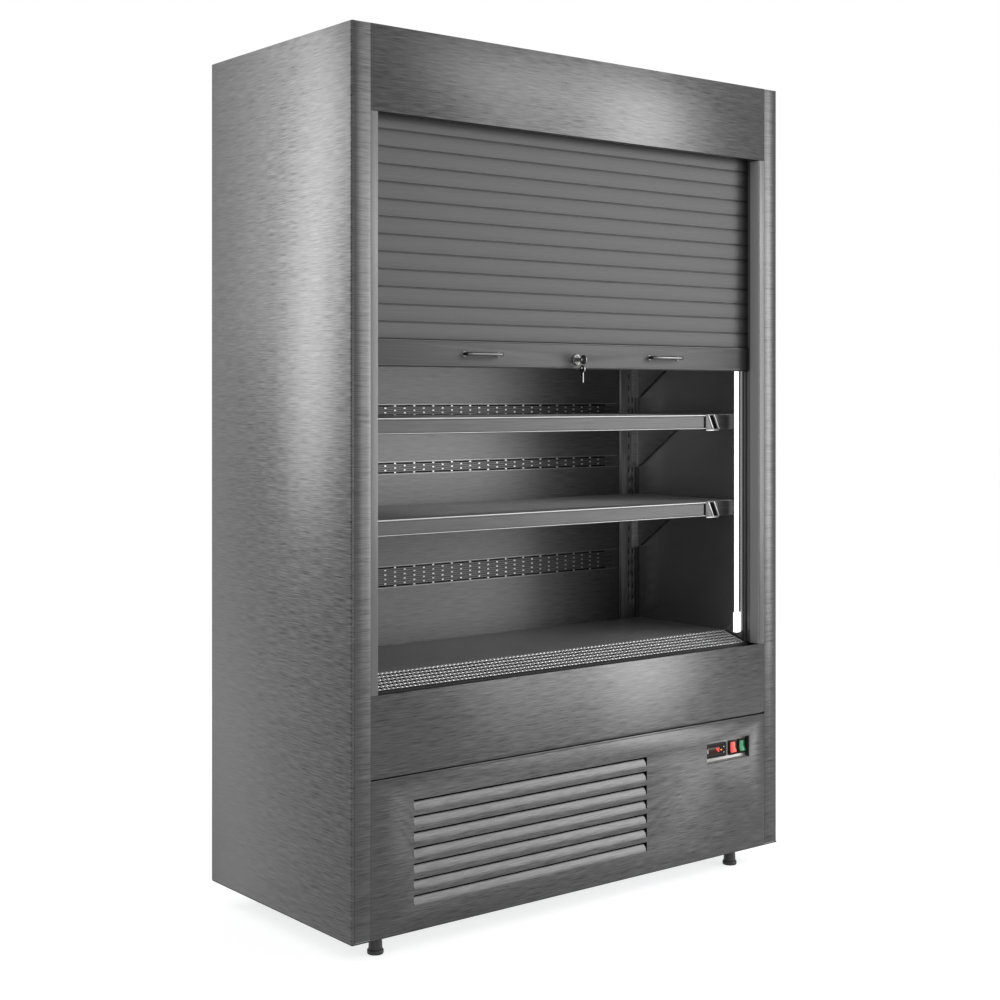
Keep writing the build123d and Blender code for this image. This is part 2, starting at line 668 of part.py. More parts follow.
def shelf(top):
    """Shelf tray with a front lip, its return, and a short rear lip."""
    x = (-SHELF_HALF, SHELF_HALF)
    under = top - SHELF_SHEET
    foot = top - SHELF_LIP
    tray = block(x, (SHELF_Y, SHELF_BACK), (under, top))
    tray += block(x, (SHELF_Y, SHELF_Y + PANEL_SHEET), (foot, under))
    tray += block(x, (SHELF_Y, SHELF_Y + SHELF_RETURN), (foot, foot + PANEL_SHEET))
    return tray + block(x, (SHELF_BACK - PANEL_SHEET, SHELF_BACK), (top - SHELF_LIP / 2, under))


def ticket_rail(top):
    """Channel on the shelf's lip for price tickets, with the end clip at its right."""
    foot = top - SHELF_LIP
    nose = SHELF_Y - RAIL_PROUD
    plate = SHELF_Y - RAIL_PLATE
    outline = [
        (SHELF_Y, foot), (nose, foot), (nose, foot + RAIL_BEAD), (plate, foot + RAIL_BEAD),
        (plate, top - RAIL_BEAD), (nose, top - RAIL_BEAD), (nose, top), (SHELF_Y, top),
    ]
    rail_start = -(LAMP_X - LAMP_RADIUS - RAIL_LAMP_GAP)
    rail_end = SIDE - RAIL_SHORT
    rail = prism_x(outline, (rail_start, rail_end - SEAM))
    clip_x = (rail_end, rail_end + CLIP_WIDTH)
    clip = block(clip_x, (SHELF_Y - CLIP_PROUD, SHELF_Y), (foot - CLIP_DROP, top))
    slant = degrees(atan2(SHELF_LIP, CLIP_SLANT))
    cut = Box(2 * CLIP_WIDTH, CLIP_PROUD / 2, CLIP_SLOT)
    clip -= Pos(sum(clip_x) / 2, SHELF_Y - CLIP_PROUD, top - SHELF_LIP / 2) * Rot(0, slant, 0) * cut
    return [rail, clip]


def ticket_rails():
    return grouped(piece for top in SHELF_TOPS for piece in ticket_rail(top))


def shelf_bracket(top):
    """Gusset that hooks into the upright and carries one end of a shelf on its top flange."""
    seat = top - SHELF_SHEET
    plate_x = (INNER - BRACKET_GAP - BRACKET_SHEET, INNER - BRACKET_GAP)
    back = UPRIGHT_Y - SEAM / 2
    nose = SHELF_Y + BRACKET_FRONT_GAP
    low = top - BRACKET_DROP
    knee = back - (BRACKET_DROP - BRACKET_ARM) / tan(radians(BRACKET_RISE))
    outline = [(back, low), (back, seat), (nose, seat), (nose, seat - BRACKET_ARM), (knee, top - BRACKET_ARM)]
    flange_x = (plate_x[0] - BRACKET_FLANGE, plate_x[0])
    bracket = prism_x(outline, plate_x)
    bracket += block(flange_x, (nose, SHELF_BACK - 2 * PANEL_SHEET), (seat - PANEL_SHEET, seat))
    hook_x = upright_columns()[1]
    rear_flange_x = (hook_x - UPRIGHT_SLOT[0], plate_x[0])
    bracket += block(rear_flange_x, (back - PANEL_SHEET, back), (low, seat - SHELF_LIP))
    heights = [h for h in upright_slot_heights() if low + HOOK_HEIGHT < h < seat - SHELF_LIP - HOOK_HEIGHT]
    for height in (heights[0], heights[-1]):
        bracket += block(
            around(hook_x, UPRIGHT_SLOT[0] / 2), (back, DUCT_Y + HOOK_REACH - BRACKET_SHEET),
            around(height, HOOK_HEIGHT),
        )
    return bracket


def shelf_brackets():
    right = [shelf_bracket(top) for top in SHELF_TOPS]
    return grouped(right + [mirrored(piece) for piece in right])


# ---------------------------------------------------------------- lamps
def socket_spans():
    low = DECK_Z + SOCKET_FOOT_GAP
    return (low, low + SOCKET_HEIGHT), (HEADER_Z - SOCKET_HEIGHT, HEADER_Z)


def led_tubes():
    lower, upper = socket_spans()
    return both_sides(rod_z(LAMP_X, LAMP_Y, LAMP_RADIUS, (lower[1], upper[0])))


def led_sockets():
    """End caps of the lamps, each with a tab to the side lining."""
    pieces = []
    for span in socket_spans():
        cap = block(around(LAMP_X, SOCKET_SIZE), around(LAMP_Y, SOCKET_SIZE), span)
        tab = block((LAMP_X + SOCKET_SIZE / 2, INNER), around(LAMP_Y, SOCKET_TAB), span)
        pieces += [cap + tab, mirrored(cap + tab)]
    return grouped(pieces)


# ---------------------------------------------------------------- shutter
def guide_rail():
    """Extruded guide: front chamber, curtain slot, and a slimmer run behind the fascia."""
    lower = (SILL_HEIGHT, HEADER_Z - SEAM)
    upper = (HEADER_Z - SEAM, HEADER_Z + GUIDE_RISE)
    slot_y = (SLAT_FRONT - RUN_GAP, SLAT_BACK + RUN_GAP)
    rail = block((GUIDE_IN, POST_IN), (FRONT, GUIDE_BACK), lower)
    rail -= block(
        (GUIDE_IN + GUIDE_WALL, POST_IN - GUIDE_WALL), (FRONT + GUIDE_WALL, slot_y[0] - GUIDE_WALL), lower
    )
    rail += block((GUIDE_IN, POST_IN), (FRONT + GUIDE_TONGUE, GUIDE_BACK), upper)
    return rail - block((GUIDE_IN, GUIDE_IN + GUIDE_GROOVE), slot_y, (SILL_HEIGHT, HEADER_Z + GUIDE_RISE))


def slat(low):
    """Rolled hollow slat with a crowned front."""
    high = low + SLAT_PITCH - SLAT_GAP
    middle = (low + high) / 2
    edge = SLAT_FRONT + SLAT_CROWN
    outer = [(SLAT_BACK, low), (edge, low), (SLAT_FRONT, middle), (edge, high), (SLAT_BACK, high)]
    inner = [
        (SLAT_BACK - SLAT_WALL, low + SLAT_WALL), (edge + SLAT_WALL, low + SLAT_WALL),
        (SLAT_FRONT + SLAT_WALL, middle), (edge + SLAT_WALL, high - SLAT_WALL),
        (SLAT_BACK - SLAT_WALL, high - SLAT_WALL),
    ]
    x = (-SLAT_END, SLAT_END)
    return prism_x(outer, x) - prism_x(inner, x)


def shutter_slats():
    first = BAR_TOP + SLAT_GAP
    return grouped(slat(first + SLAT_PITCH * index) for index in range(SLAT_COUNT))


def bottom_bar():
    """Hollow end slat whose closed ends run in the guides."""
    z = (BAR_BOTTOM, BAR_TOP)
    bar = block((-BAR_HALF, BAR_HALF), (BAR_FACE, SLAT_BACK), z)
    bar -= block(
        (-BAR_HALF, BAR_HALF), (BAR_FACE + BAR_WALL, SLAT_BACK - BAR_WALL), (z[0] + BAR_WALL, z[1] - BAR_WALL)
    )
    tongue = block((BAR_HALF, SLAT_END), (SLAT_FRONT, SLAT_BACK), z)
    bar += tongue + mirrored(tongue)
    return bar - rod_y(0, LOCK_Z, LOCK_BARREL_RADIUS + LOCK_HOLE_GAP, (BAR_FACE, SLAT_BACK))


def bar_seal():
    y = (BAR_FACE + SEAL_INSET, SLAT_BACK - SEAL_INSET)
    return block((-BAR_HALF, BAR_HALF), y, (BAR_BOTTOM - SEAL_DROP, BAR_BOTTOM))


def handle(x):
    """Bent rod handle on two flanges."""
    legs = around(x, HANDLE_LENGTH)
    grip_y = BAR_FACE - HANDLE_REACH
    points = [(legs[0], BAR_FACE, HANDLE_Z), (legs[0], grip_y, HANDLE_Z)]
    points += [(legs[1], grip_y, HANDLE_Z), (legs[1], BAR_FACE, HANDLE_Z)]
    rod = swept_rod(points, HANDLE_BEND, HANDLE_ROD)
    for leg in legs:
        rod += rod_y(leg, HANDLE_Z, HANDLE_FLANGE, (BAR_FACE - HANDLE_FLANGE_THICKNESS, BAR_FACE))
    return rod


def bar_handles():
    return grouped(handle(side * HANDLE_CENTRES / 2) for side in PAIR)


# ---------------------------------------------------------------- lock and keys
LOCK_FRONT = BAR_FACE - LOCK_ROSETTE
LOCK_BACK = SLAT_BACK + LOCK_NUT
PLUG_FRONT = LOCK_FRONT - PLUG_PROUD
PLUG_BACK = LOCK_BACK + SLAT_GAP
KEY_BOW_Y = PLUG_FRONT - KEY_SHANK_LENGTH - KEY_BOW_RADIUS
RING_Y = KEY_BOW_Y + RING_SETBACK
RING_TOP = LOCK_Z - KEY_HOLE_RADIUS + RING_WIRE + RING_PLAY


def lock_body():
    body = rod_y(0, LOCK_Z, LOCK_ROSETTE_RADIUS, (LOCK_FRONT, BAR_FACE))
    body += rod_y(0, LOCK_Z, LOCK_BARREL_RADIUS, (BAR_FACE, LOCK_BACK))
    body += rod_y(0, LOCK_Z, LOCK_NUT_RADIUS, (SLAT_BACK, LOCK_BACK))
    return body - rod_y(0, LOCK_Z, PLUG_RADIUS + RUNNING_GAP, (LOCK_FRONT, LOCK_BACK))


def lock_plug():
    return rod_y(0, LOCK_Z, PLUG_RADIUS, (PLUG_FRONT, PLUG_BACK))


def lock_cam():
    y = (PLUG_BACK, PLUG_BACK + CAM_THICKNESS)
    arm = block((0, CAM_LENGTH), y, around(LOCK_Z, 2 * CAM_HALF_WIDTH))
    return arm + rod_y(0, LOCK_Z, CAM_HALF_WIDTH, y)


def lock_key():
    x = (-KEY_THICKNESS / 2, KEY_THICKNESS / 2)
    shank_y = (PLUG_FRONT - KEY_SHANK_LENGTH - KEY_HOLE_RADIUS, PLUG_FRONT)
    shank = block(x, shank_y, around(LOCK_Z, KEY_SHANK_HEIGHT))
    bow = rod_x(KEY_BOW_Y, LOCK_Z, KEY_BOW_RADIUS, x)
    return shank + bow - rod_x(RING_Y, LOCK_Z, KEY_HOLE_RADIUS, x)


def spare_key():
    """Split ring through the key's bow, with the second key hanging on it."""
    ring_z = RING_TOP - RING_RADIUS
    ring = Pos(0, RING_Y, ring_z) * Rot(90, 0, 0) * Torus(RING_RADIUS, RING_WIRE)
    wire_z = ring_z - RING_RADIUS
    hole_z = wire_z + RING_WIRE + RING_PLAY - SPARE_HOLE_RADIUS
    bow_z = hole_z - SPARE_HOLE_RADIUS
    x = (-KEY_THICKNESS / 2, KEY_THICKNESS / 2)
    bow = rod_x(RING_Y, bow_z, SPARE_BOW_RADIUS, x)
    blade_top = bow_z - SPARE_BOW_RADIUS + SPARE_HOLE_RADIUS
    blade = block(x, around(RING_Y, SPARE_BLADE_WIDTH), (blade_top - SPARE_BLADE_LENGTH, blade_top))
    return grouped([ring, bow + blade - rod_x(RING_Y, hole_z, SPARE_HOLE_RADIUS, x)])


# ---------------------------------------------------------------- barrel
BRACKET_FACE = INNER - BRACKET_PLATE
BARREL_HALF = BRACKET_FACE - BARREL_END_GAP


def barrel_brackets():
    """End plates on the side linings that hold the fixed shaft."""
    reach = TUBE_RADIUS + SHAFT_RADIUS
    plate = block((BRACKET_FACE, INNER), around(BARREL_Y, 2 * reach), around(BARREL_Z, 2 * reach))
    bore = rod_x(BARREL_Y, BARREL_Z, SHAFT_RADIUS + RUNNING_GAP, (BRACKET_FACE, INNER))
    return both_sides(plate - bore)


def barrel_shaft():
    """Fixed shaft with the close-wound balance spring, which is drawn as its outer sleeve."""
    x = (-BARREL_HALF + BUSH_WIDTH, -BARREL_HALF + BUSH_WIDTH + SPRING_LENGTH)
    sleeve = rod_x(BARREL_Y, BARREL_Z, SPRING_RADIUS, x)
    sleeve -= rod_x(BARREL_Y, BARREL_Z, SHAFT_RADIUS, x)
    return grouped([rod_x(BARREL_Y, BARREL_Z, SHAFT_RADIUS, (-INNER, INNER)), sleeve])


def barrel_tube():
    x = (-BARREL_HALF, BARREL_HALF)
    tube = rod_x(BARREL_Y, BARREL_Z, TUBE_RADIUS, x) - rod_x(BARREL_Y, BARREL_Z, TUBE_RADIUS - TUBE_WALL, x)
    bush_x = (BARREL_HALF - BUSH_WIDTH + SEAM, BARREL_HALF)
    bush = rod_x(BARREL_Y, BARREL_Z, TUBE_RADIUS - TUBE_WALL, bush_x)
    bush -= rod_x(BARREL_Y, BARREL_Z, SHAFT_RADIUS + RUNNING_GAP, bush_x)
    return tube + bush + mirrored(bush)


def coiled_slats():
    """Wound curtain: one flat facet for each slat, spiralling out from the tube."""
    x = (-BARREL_HALF + COIL_END_GAP, BARREL_HALF - COIL_END_GAP)
    first_radius = hypot(TUBE_RADIUS + COIL_START, SLAT_PITCH / 2)
    rise = (SLAT_THICKNESS + RUN_GAP) / (2 * pi)
    angles = [0.0]
    for _ in range(COIL_SLATS):
        angles.append(angles[-1] + 2 * asin(SLAT_PITCH / 2 / (first_radius + rise * angles[-1])))
    outline = []
    for skin, turned in ((0, angles), (COIL_SKIN, angles[::-1])):
        for angle in turned:
            reach = first_radius + rise * angle + skin
            # The outer end finishes level with the shaft, on the front side.
            place = angle - angles[-1] + pi / 2
            outline.append((BARREL_Y - reach * sin(place), BARREL_Z + reach * cos(place)))
    return prism_x(outline, x)


# ---------------------------------------------------------------- controls
def thermostat_x():
    left = CONTROL_X[0] + THERMOSTAT_INSET
    return (left, left + THERMOSTAT_BEZEL[0])


def rocker_middles():
    right = CONTROL_X[1] - ROCKER_RIGHT - ROCKER_BEZEL[0] / 2
    return right - ROCKER_PITCH, right


def control_recess():
    """Folded tray behind the window, with the cut-outs that hold the controls."""
    sheet = CONTROL_SHEET
    mouth = FRONT + SKIN
    outer_x = (CONTROL_X[0] - sheet, CONTROL_X[1] + sheet)
    outer_z = (CONTROL_Z[0] - sheet, CONTROL_Z[1] + sheet)
    through = (CONTROL_BACK, CONTROL_BACK + sheet)
    tray = block(outer_x, (mouth, CONTROL_BACK + sheet), outer_z)
    tray -= block(CONTROL_X, (mouth, CONTROL_BACK), CONTROL_Z)
    cuts = [(sum(thermostat_x()) / 2, THERMOSTAT_BODY)]
    cuts += [(middle, ROCKER_BODY) for middle in rocker_middles()]
    for middle, (width, height) in cuts:
        tray -= block(
            around(middle, width + 2 * CUT_GAP), through, around(CONTROL_MID, height + 2 * CUT_GAP)
        )
    return tray


def button_places():
    x = thermostat_x()[1] - BUTTON_INSET
    return [(x, CONTROL_MID + side * BUTTON_SPREAD / 2) for side in (1, -1)]


def thermostat():
    x = thermostat_x()
    middle = sum(x) / 2
    face = CONTROL_BACK - BEZEL_THICKNESS
    body = block(x, (face, CONTROL_BACK), around(CONTROL_MID, THERMOSTAT_BEZEL[1]))
    body += block(
        around(middle, THERMOSTAT_BODY[0]), (CONTROL_BACK, CONTROL_BACK + THERMOSTAT_DEPTH),
        around(CONTROL_MID, THERMOSTAT_BODY[1]),
    )
    screen_x = (x[0] + BUTTON_INSET, x[0] + BUTTON_INSET + DISPLAY_SIZE[0])
    body -= block(screen_x, (face, face + DISPLAY_DEPTH), around(CONTROL_MID, DISPLAY_SIZE[1]))
    pocket = BUTTON_SIZE + 2 * BUTTON_GAP
    for button_x, button_z in button_places():
        body -= block(around(button_x, pocket), (face, face + BUTTON_POCKET), around(button_z, pocket))
    return body


def thermostat_button(place):
    face = CONTROL_BACK - BEZEL_THICKNESS
    y = (face - BUTTON_PROUD, face + BUTTON_POCKET - BUTTON_PROUD - BUTTON_GAP)
    return block(around(place[0], BUTTON_SIZE), y, around(place[1], BUTTON_SIZE))


def rocker_housing(middle):
    face = CONTROL_BACK - ROCKER_BEZEL_THICKNESS
    pivot_y = face + ROCKER_PIVOT
    body = block(around(middle, ROCKER_BEZEL[0]), (face, CONTROL_BACK), around(CONTROL_MID, ROCKER_BEZEL[1]))
    body += block(
        around(middle, ROCKER_BODY[0]), (CONTROL_BACK, CONTROL_BACK + ROCKER_BODY_DEPTH),
        around(CONTROL_MID, ROCKER_BODY[1]),
    )
    pocket_y = (face, face + ROCKER_POCKET_DEPTH)
    body -= block(around(middle, ROCKER_POCKET[0]), pocket_y, around(CONTROL_MID, ROCKER_POCKET[1]))
    bore = around(middle, ROCKER_POCKET[0] + 2 * PIVOT_BOSS)
    return body - rod_x(pivot_y, CONTROL_MID, PIVOT_PIN + RUNNING_GAP, bore)


def rocker_housings():
    return grouped(rocker_housing(middle) for middle in rocker_middles())


def rocker(middle):
    """Shallow-V rocker on two short pivot pins, pressed at its top."""
    pivot_y = CONTROL_BACK - ROCKER_BEZEL_THICKNESS + ROCKER_PIVOT
    rise = ROCKER_WAIST + ROCKER_HALF * tan(radians(ROCKER_TILT))
    profile = [
        (-rise, -ROCKER_HALF), (-ROCKER_WAIST, 0), (-rise, ROCKER_HALF),
        (0, ROCKER_HALF), (ROCKER_PIVOT, ROCKER_WAIST), (ROCKER_PIVOT, -ROCKER_WAIST), (0, -ROCKER_HALF),
    ]
    tilt = radians(ROCKER_TILT)
    turned = [
        (pivot_y + y * cos(tilt) + z * sin(tilt), CONTROL_MID - y * sin(tilt) + z * cos(tilt))
        for y, z in profile
    ]
    pins = around(middle, ROCKER_POCKET[0] + 2 * PIVOT_BOSS - 2 * SEAM)
    return prism_x(turned, around(middle, ROCKER_WIDTH)) + rod_x(pivot_y, CONTROL_MID, PIVOT_PIN, pins)


# ---------------------------------------------------------------- cooling machine
def blade_wheel(radius, hub, hub_y, shaft, shaft_back, thickness):
    """Axial fan wheel about Y at the origin, with its shaft."""
    depth = hub_y[1] - hub_y[0]
    wheel = rod_y(0, 0, hub, hub_y) + rod_y(0, 0, shaft, (hub_y[1], shaft_back))
    root = hub * BLADE_ROOT
    blade = Rot(BLADE_ANGLE, 0, 0) * Box(radius - root, depth * BLADE_CHORD, thickness)
    blade = Pos((root + radius) / 2, sum(hub_y) / 2, 0) * blade
    blade &= rod_y(0, 0, radius, hub_y)
    for index in range(FAN_BLADES):
        wheel += Rot(0, 360 / FAN_BLADES * index, 0) * blade
    return wheel


FAN_PLATE_Y = FRONT + FAN_PLATE_SETBACK
FAN_Z = TANK_Z + FAN_AXIS_RISE
FAN_STRAP_Y = FAN_PLATE_Y + PANEL_SHEET + FAN_STANDOFF
CONDENSER_Y = FRONT + CONDENSER_SETBACK
CONDENSER_X = (-SIDE + CONDENSER_LEFT, -SIDE + CONDENSER_LEFT + CONDENSER[0])
CONDENSER_MID = (sum(CONDENSER_X) / 2, FLOOR + CONDENSER[2] / 2)
SHROUD_Y = CONDENSER_Y + CONDENSER[1] + SHROUD_DEPTH
STRAP_Y = SHROUD_Y + CONDENSER_STANDOFF
COMPRESSOR_X = SIDE - COMPRESSOR_RIGHT
COMPRESSOR_Y = REAR - COMPRESSOR_REAR
DISCHARGE_X = CONDENSER_X[1] + DISCHARGE_GAP
LIQUID_X = CONDENSER_X[1] + LIQUID_GAP


def finned_coil(x, y, z, fins, tubes, tube_radius, stub):
    """Fins across X on a bundle of tubes given as (rows, levels), whose ends stand out by a stub."""
    rows, levels = tubes
    pitch = (x[1] - x[0] - FIN_THICKNESS) / (fins - 1)
    coil = Part() + [
        block((x[0] + pitch * index, x[0] + pitch * index + FIN_THICKNESS), y, z) for index in range(fins)
    ]
    for row in range(rows):
        tube_y = y[0] + (y[1] - y[0]) * (row + 0.5) / rows
        for level in range(levels):
            tube_z = z[0] + (z[1] - z[0]) * (level + 0.5) / levels
            coil += rod_x(tube_y, tube_z, tube_radius, (x[0] - stub, x[1] + stub))
    return coil


def evaporator_coil():
    start = FRONT + COIL_SETBACK
    depth, height = EVAPORATOR
    return finned_coil(
        (-COIL_HALF, COIL_HALF), (start, start + depth), (TANK_Z, TANK_Z + height),
        EVAPORATOR_FINS, EVAPORATOR_TUBES, EVAPORATOR_TUBE_RADIUS, EVAPORATOR_TUBE_STUB,
    )


def evaporator_fan_plate():
    """Plate across the tank with two fan holes, straps and motors."""
    half = INNER - 2 * PANEL_SHEET
    y = (FAN_PLATE_Y, FAN_PLATE_Y + PANEL_SHEET)
    plate = block((-half, half), y, (TANK_Z, DECK_Z - PANEL_SHEET))
    strap_x, strap_z, strap_y = FAN_STRAP
    for side in PAIR:
        x = side * FAN_SPREAD / 2
        plate -= rod_y(x, FAN_Z, FAN_HOLE, y)
        plate += block(around(x, strap_x), (FAN_STRAP_Y, FAN_STRAP_Y + strap_y), around(FAN_Z, strap_z))
        for end in PAIR:
            leg_x = x + end * (strap_x - strap_y) / 2
            plate += block(around(leg_x, strap_y), (y[1], FAN_STRAP_Y), around(FAN_Z, strap_z))
        plate += rod_y(x, FAN_Z, FAN_MOTOR_RADIUS, (FAN_STRAP_Y, FAN_STRAP_Y + FAN_MOTOR_LENGTH))
        plate -= rod_y(x, FAN_Z, FAN_SHAFT + RUNNING_GAP, (FAN_STRAP_Y, FAN_STRAP_Y + FAN_MOTOR_LENGTH / 2))
    return plate


def evaporator_fan(side):
    hub_y = (0, FAN_STANDOFF - 2 * PANEL_SHEET)
    shaft_back = FAN_STANDOFF + PANEL_SHEET + FAN_MOTOR_LENGTH / 3
    wheel = blade_wheel(FAN_BLADE_RADIUS, FAN_HUB, hub_y, FAN_SHAFT, shaft_back, EVAPORATOR_BLADE)
    return Pos(side * FAN_SPREAD / 2, FAN_PLATE_Y, FAN_Z) * wheel


def compressor():
    x, y = COMPRESSOR_X, COMPRESSOR_Y
    length, width, plate = COMPRESSOR_BASE
    plate_z = FLOOR + COMPRESSOR_FOOT
    shell_z = plate_z + plate
    shell = Cylinder(COMPRESSOR_RADIUS, COMPRESSOR_SHELL)
    shell = fillet(shell.edges().filter_by(GeomType.CIRCLE), COMPRESSOR_DOME)
    shell -= Cylinder(COMPRESSOR_RADIUS - COMPRESSOR_WALL, COMPRESSOR_SHELL - 3 * COMPRESSOR_WALL)
    body = Pos(x, y, shell_z + COMPRESSOR_SHELL / 2 - SKIN) * shell
    body += block(around(x, length), around(y, width), (plate_z, shell_z))
    for side_x in PAIR:
        for side_y in PAIR:
            foot_x = x + side_x * (length / 2 - 2 * COMPRESSOR_FOOT)
            foot_y = y + side_y * (width / 2 - COMPRESSOR_FOOT)
            body += rod_z(foot_x, foot_y, COMPRESSOR_FOOT, (FLOOR, plate_z))
    return body


def condenser_coil():
    depth, height = CONDENSER[1:]
    return finned_coil(
        CONDENSER_X, (CONDENSER_Y, CONDENSER_Y + depth), (FLOOR, FLOOR + height),
        CONDENSER_FINS, CONDENSER_TUBES, CONDENSER_TUBE_RADIUS, 0,
    )


def condenser_fan_motor():
    """Shroud on the back of the coil, with the strap that holds the motor."""
    x, z = CONDENSER_MID
    span_z = (FLOOR, FLOOR + CONDENSER[2])
    near = CONDENSER_Y + CONDENSER[1]
    shroud = block(CONDENSER_X, (near, SHROUD_Y + SKIN), span_z)
    shroud -= block(
        (CONDENSER_X[0] + SKIN, CONDENSER_X[1] - SKIN), (near, SHROUD_Y), (span_z[0] + SKIN, span_z[1] - SKIN)
    )
    shroud -= rod_y(x, z, CONDENSER_HOLE, (SHROUD_Y, SHROUD_Y + SKIN))
    strap_x, strap_z, strap_y = CONDENSER_STRAP
    shroud += block(around(x, strap_x), (STRAP_Y, STRAP_Y + strap_y), around(z, strap_z))
    for end in PAIR:
        leg_z = z + end * (strap_z / 2 - 2 * strap_y)
        shroud += block(around(x, strap_x), (SHROUD_Y + SKIN, STRAP_Y), around(leg_z, 3 * strap_y))
    radius, length = CONDENSER_MOTOR
    shroud += rod_y(x, z, radius, (STRAP_Y, STRAP_Y + length))
    return shroud - rod_y(x, z, CONDENSER_SHAFT + RUNNING_GAP, (STRAP_Y, STRAP_Y + length / 2))


def condenser_fan():
    x, z = CONDENSER_MID
    hub_y = (SKIN, CONDENSER_STANDOFF - 2 * SKIN)
    shaft_back = CONDENSER_STANDOFF + CONDENSER_MOTOR[1] / 3
    wheel = blade_wheel(
        CONDENSER_BLADE_RADIUS, CONDENSER_HUB, hub_y, CONDENSER_SHAFT, shaft_back, CONDENSER_BLADE
    )
    return Pos(x, SHROUD_Y, z) * wheel


def condensate_tray():
    width, depth, height = TRAY
    right = COMPRESSOR_X - COMPRESSOR_BASE[0] / 2 - TRAY_GAP
    far = REAR - TRAY_REAR
    tray = block((right - width, right), (far - depth, far), (FLOOR, FLOOR + height))
    x = (right - width + TRAY_WALL, right - TRAY_WALL)
    y = (far - depth + TRAY_WALL, far - TRAY_WALL)
    return tray - block(x, y, (FLOOR + TRAY_WALL, FLOOR + height))


def electrical_spans():
    width, depth, height = ELECTRICAL
    right = SIDE - WALL - ELECTRICAL_RIGHT + LINER
    far = REAR - SKIN - KICK_LIP
    return (right - width, right), (far - depth, far), (FLOOR, FLOOR + height)


def gland_x():
    return sum(electrical_spans()[0]) / 2


def electrical_box():
    """Closed switchgear box and the cord gland that leaves it through the back panel."""
    spans = electrical_spans()
    case = block(*spans) - block(*[(low + ELECTRICAL_WALL, high - ELECTRICAL_WALL) for low, high in spans])
    gland_y = (spans[1][1], REAR)
    gland = rod_y(gland_x(), GLAND_HEIGHT, GLAND_RADIUS, gland_y)
    return grouped([case, gland - rod_y(gland_x(), GLAND_HEIGHT, GLAND_RADIUS / 2, gland_y)])


def refrigerant_pipes():
    """Discharge, liquid and suction lines; the liquid line carries the filter drier."""
    x, y = COMPRESSOR_X, COMPRESSOR_Y
    coil_side = CONDENSER_X[1]
    line_y = CONDENSER_Y + CONDENSER[1] / 2
    high, low = FLOOR + CONDENSER[2] / 2, FLOOR + CONDENSER[2] / 6
    shell_top = FLOOR + COMPRESSOR_FOOT + COMPRESSOR_BASE[2] + COMPRESSOR_SHELL - SKIN
    under_tank = TANK_Z - TANK_FOAM
    discharge = [(x - COMPRESSOR_RADIUS, y, high), (DISCHARGE_X, y, high), (DISCHARGE_X, line_y, high)]
    discharge.append((coil_side, line_y, high))
    liquid = [(coil_side, line_y, low), (LIQUID_X, line_y, low), (LIQUID_X, line_y, under_tank)]
    drier_z = around((low + under_tank) / 2, DRIER_LENGTH)
    line = swept_rod(liquid, PIPE_BEND, PIPE_RADIUS) + rod_z(LIQUID_X, line_y, DRIER_RADIUS, drier_z)
    suction = rod_z(x, y, SUCTION_RADIUS, (shell_top, under_tank))
    short_bend = min(PIPE_BEND, DISCHARGE_GAP / 2)
    return grouped([swept_rod(discharge, short_bend, PIPE_RADIUS), line, suction])


# ---------------------------------------------------------------- the whole fridge
def nodes():
    upper_button, lower_button = button_places()
    power_x, light_x = rocker_middles()
    named = {
        "base_pan": base_pan(),
        "levelling_feet": levelling_feet(),
        "left_side_panel": mirrored(side_panel()),
        "right_side_panel": side_panel(),
        "front_posts": front_posts(),
        "side_liners": side_liners(),
        "insulation_panels": insulation_panels(),
        "back_panel": back_panel(),
        "roof_panel": roof_panel(),
        "header_fascia": header_fascia(),
        "apron_panel": apron_panel(),
        "kick_panel": kick_panel(),
        "barrel_housing": barrel_housing(),
        "ceiling_panel": ceiling_panel(),
        "air_honeycomb": air_honeycomb(),
        "rear_duct_panel": rear_duct_panel(),
        "shelf_uprights": shelf_uprights(),
        "base_deck": base_deck(),
        "air_grille": air_grille(),
        "ticket_rails": ticket_rails(),
        "shelf_brackets": shelf_brackets(),
        "led_tubes": led_tubes(),
        "led_sockets": led_sockets(),
        "left_guide_rail": mirrored(guide_rail()),
        "right_guide_rail": guide_rail(),
        "evaporator_coil": evaporator_coil(),
        "evaporator_fan_plate": evaporator_fan_plate(),
        "left_evaporator_fan": evaporator_fan(-1),
        "right_evaporator_fan": evaporator_fan(1),
        "compressor": compressor(),
        "condenser_coil": condenser_coil(),
        "condenser_fan_motor": condenser_fan_motor(),
        "condenser_fan": condenser_fan(),
        "condensate_tray": condensate_tray(),
        "electrical_box": electrical_box(),
        "refrigerant_pipes": refrigerant_pipes(),
        "control_recess": control_recess(),
        "thermostat": thermostat(),
        "thermostat_up_button": thermostat_button(upper_button),
        "thermostat_down_button": thermostat_button(lower_button),
        "rocker_housings": rocker_housings(),
        "power_rocker": rocker(power_x),
        "light_rocker": rocker(light_x),
        "barrel_brackets": barrel_brackets(),
        "barrel_shaft": barrel_shaft(),
        "barrel_tube": barrel_tube(),
        "coiled_slats": coiled_slats(),
        "shutter_slats": shutter_slats(),
        "bottom_bar": bottom_bar(),
        "bar_seal": bar_seal(),
        "bar_handles": bar_handles(),
        "lock_body": lock_body(),
        "lock_plug": lock_plug(),
        "lock_cam": lock_cam(),
        "lock_key": lock_key(),
        "spare_key": spare_key(),
    }
    for index, top in enumerate(SHELF_TOPS, start=1):
        named[f"shelf_{index}"] = shelf(top)
    return named


os.makedirs("parts", exist_ok=True)
for name, shape in nodes().items():
    export_step(shape, f"parts/{name}.step")
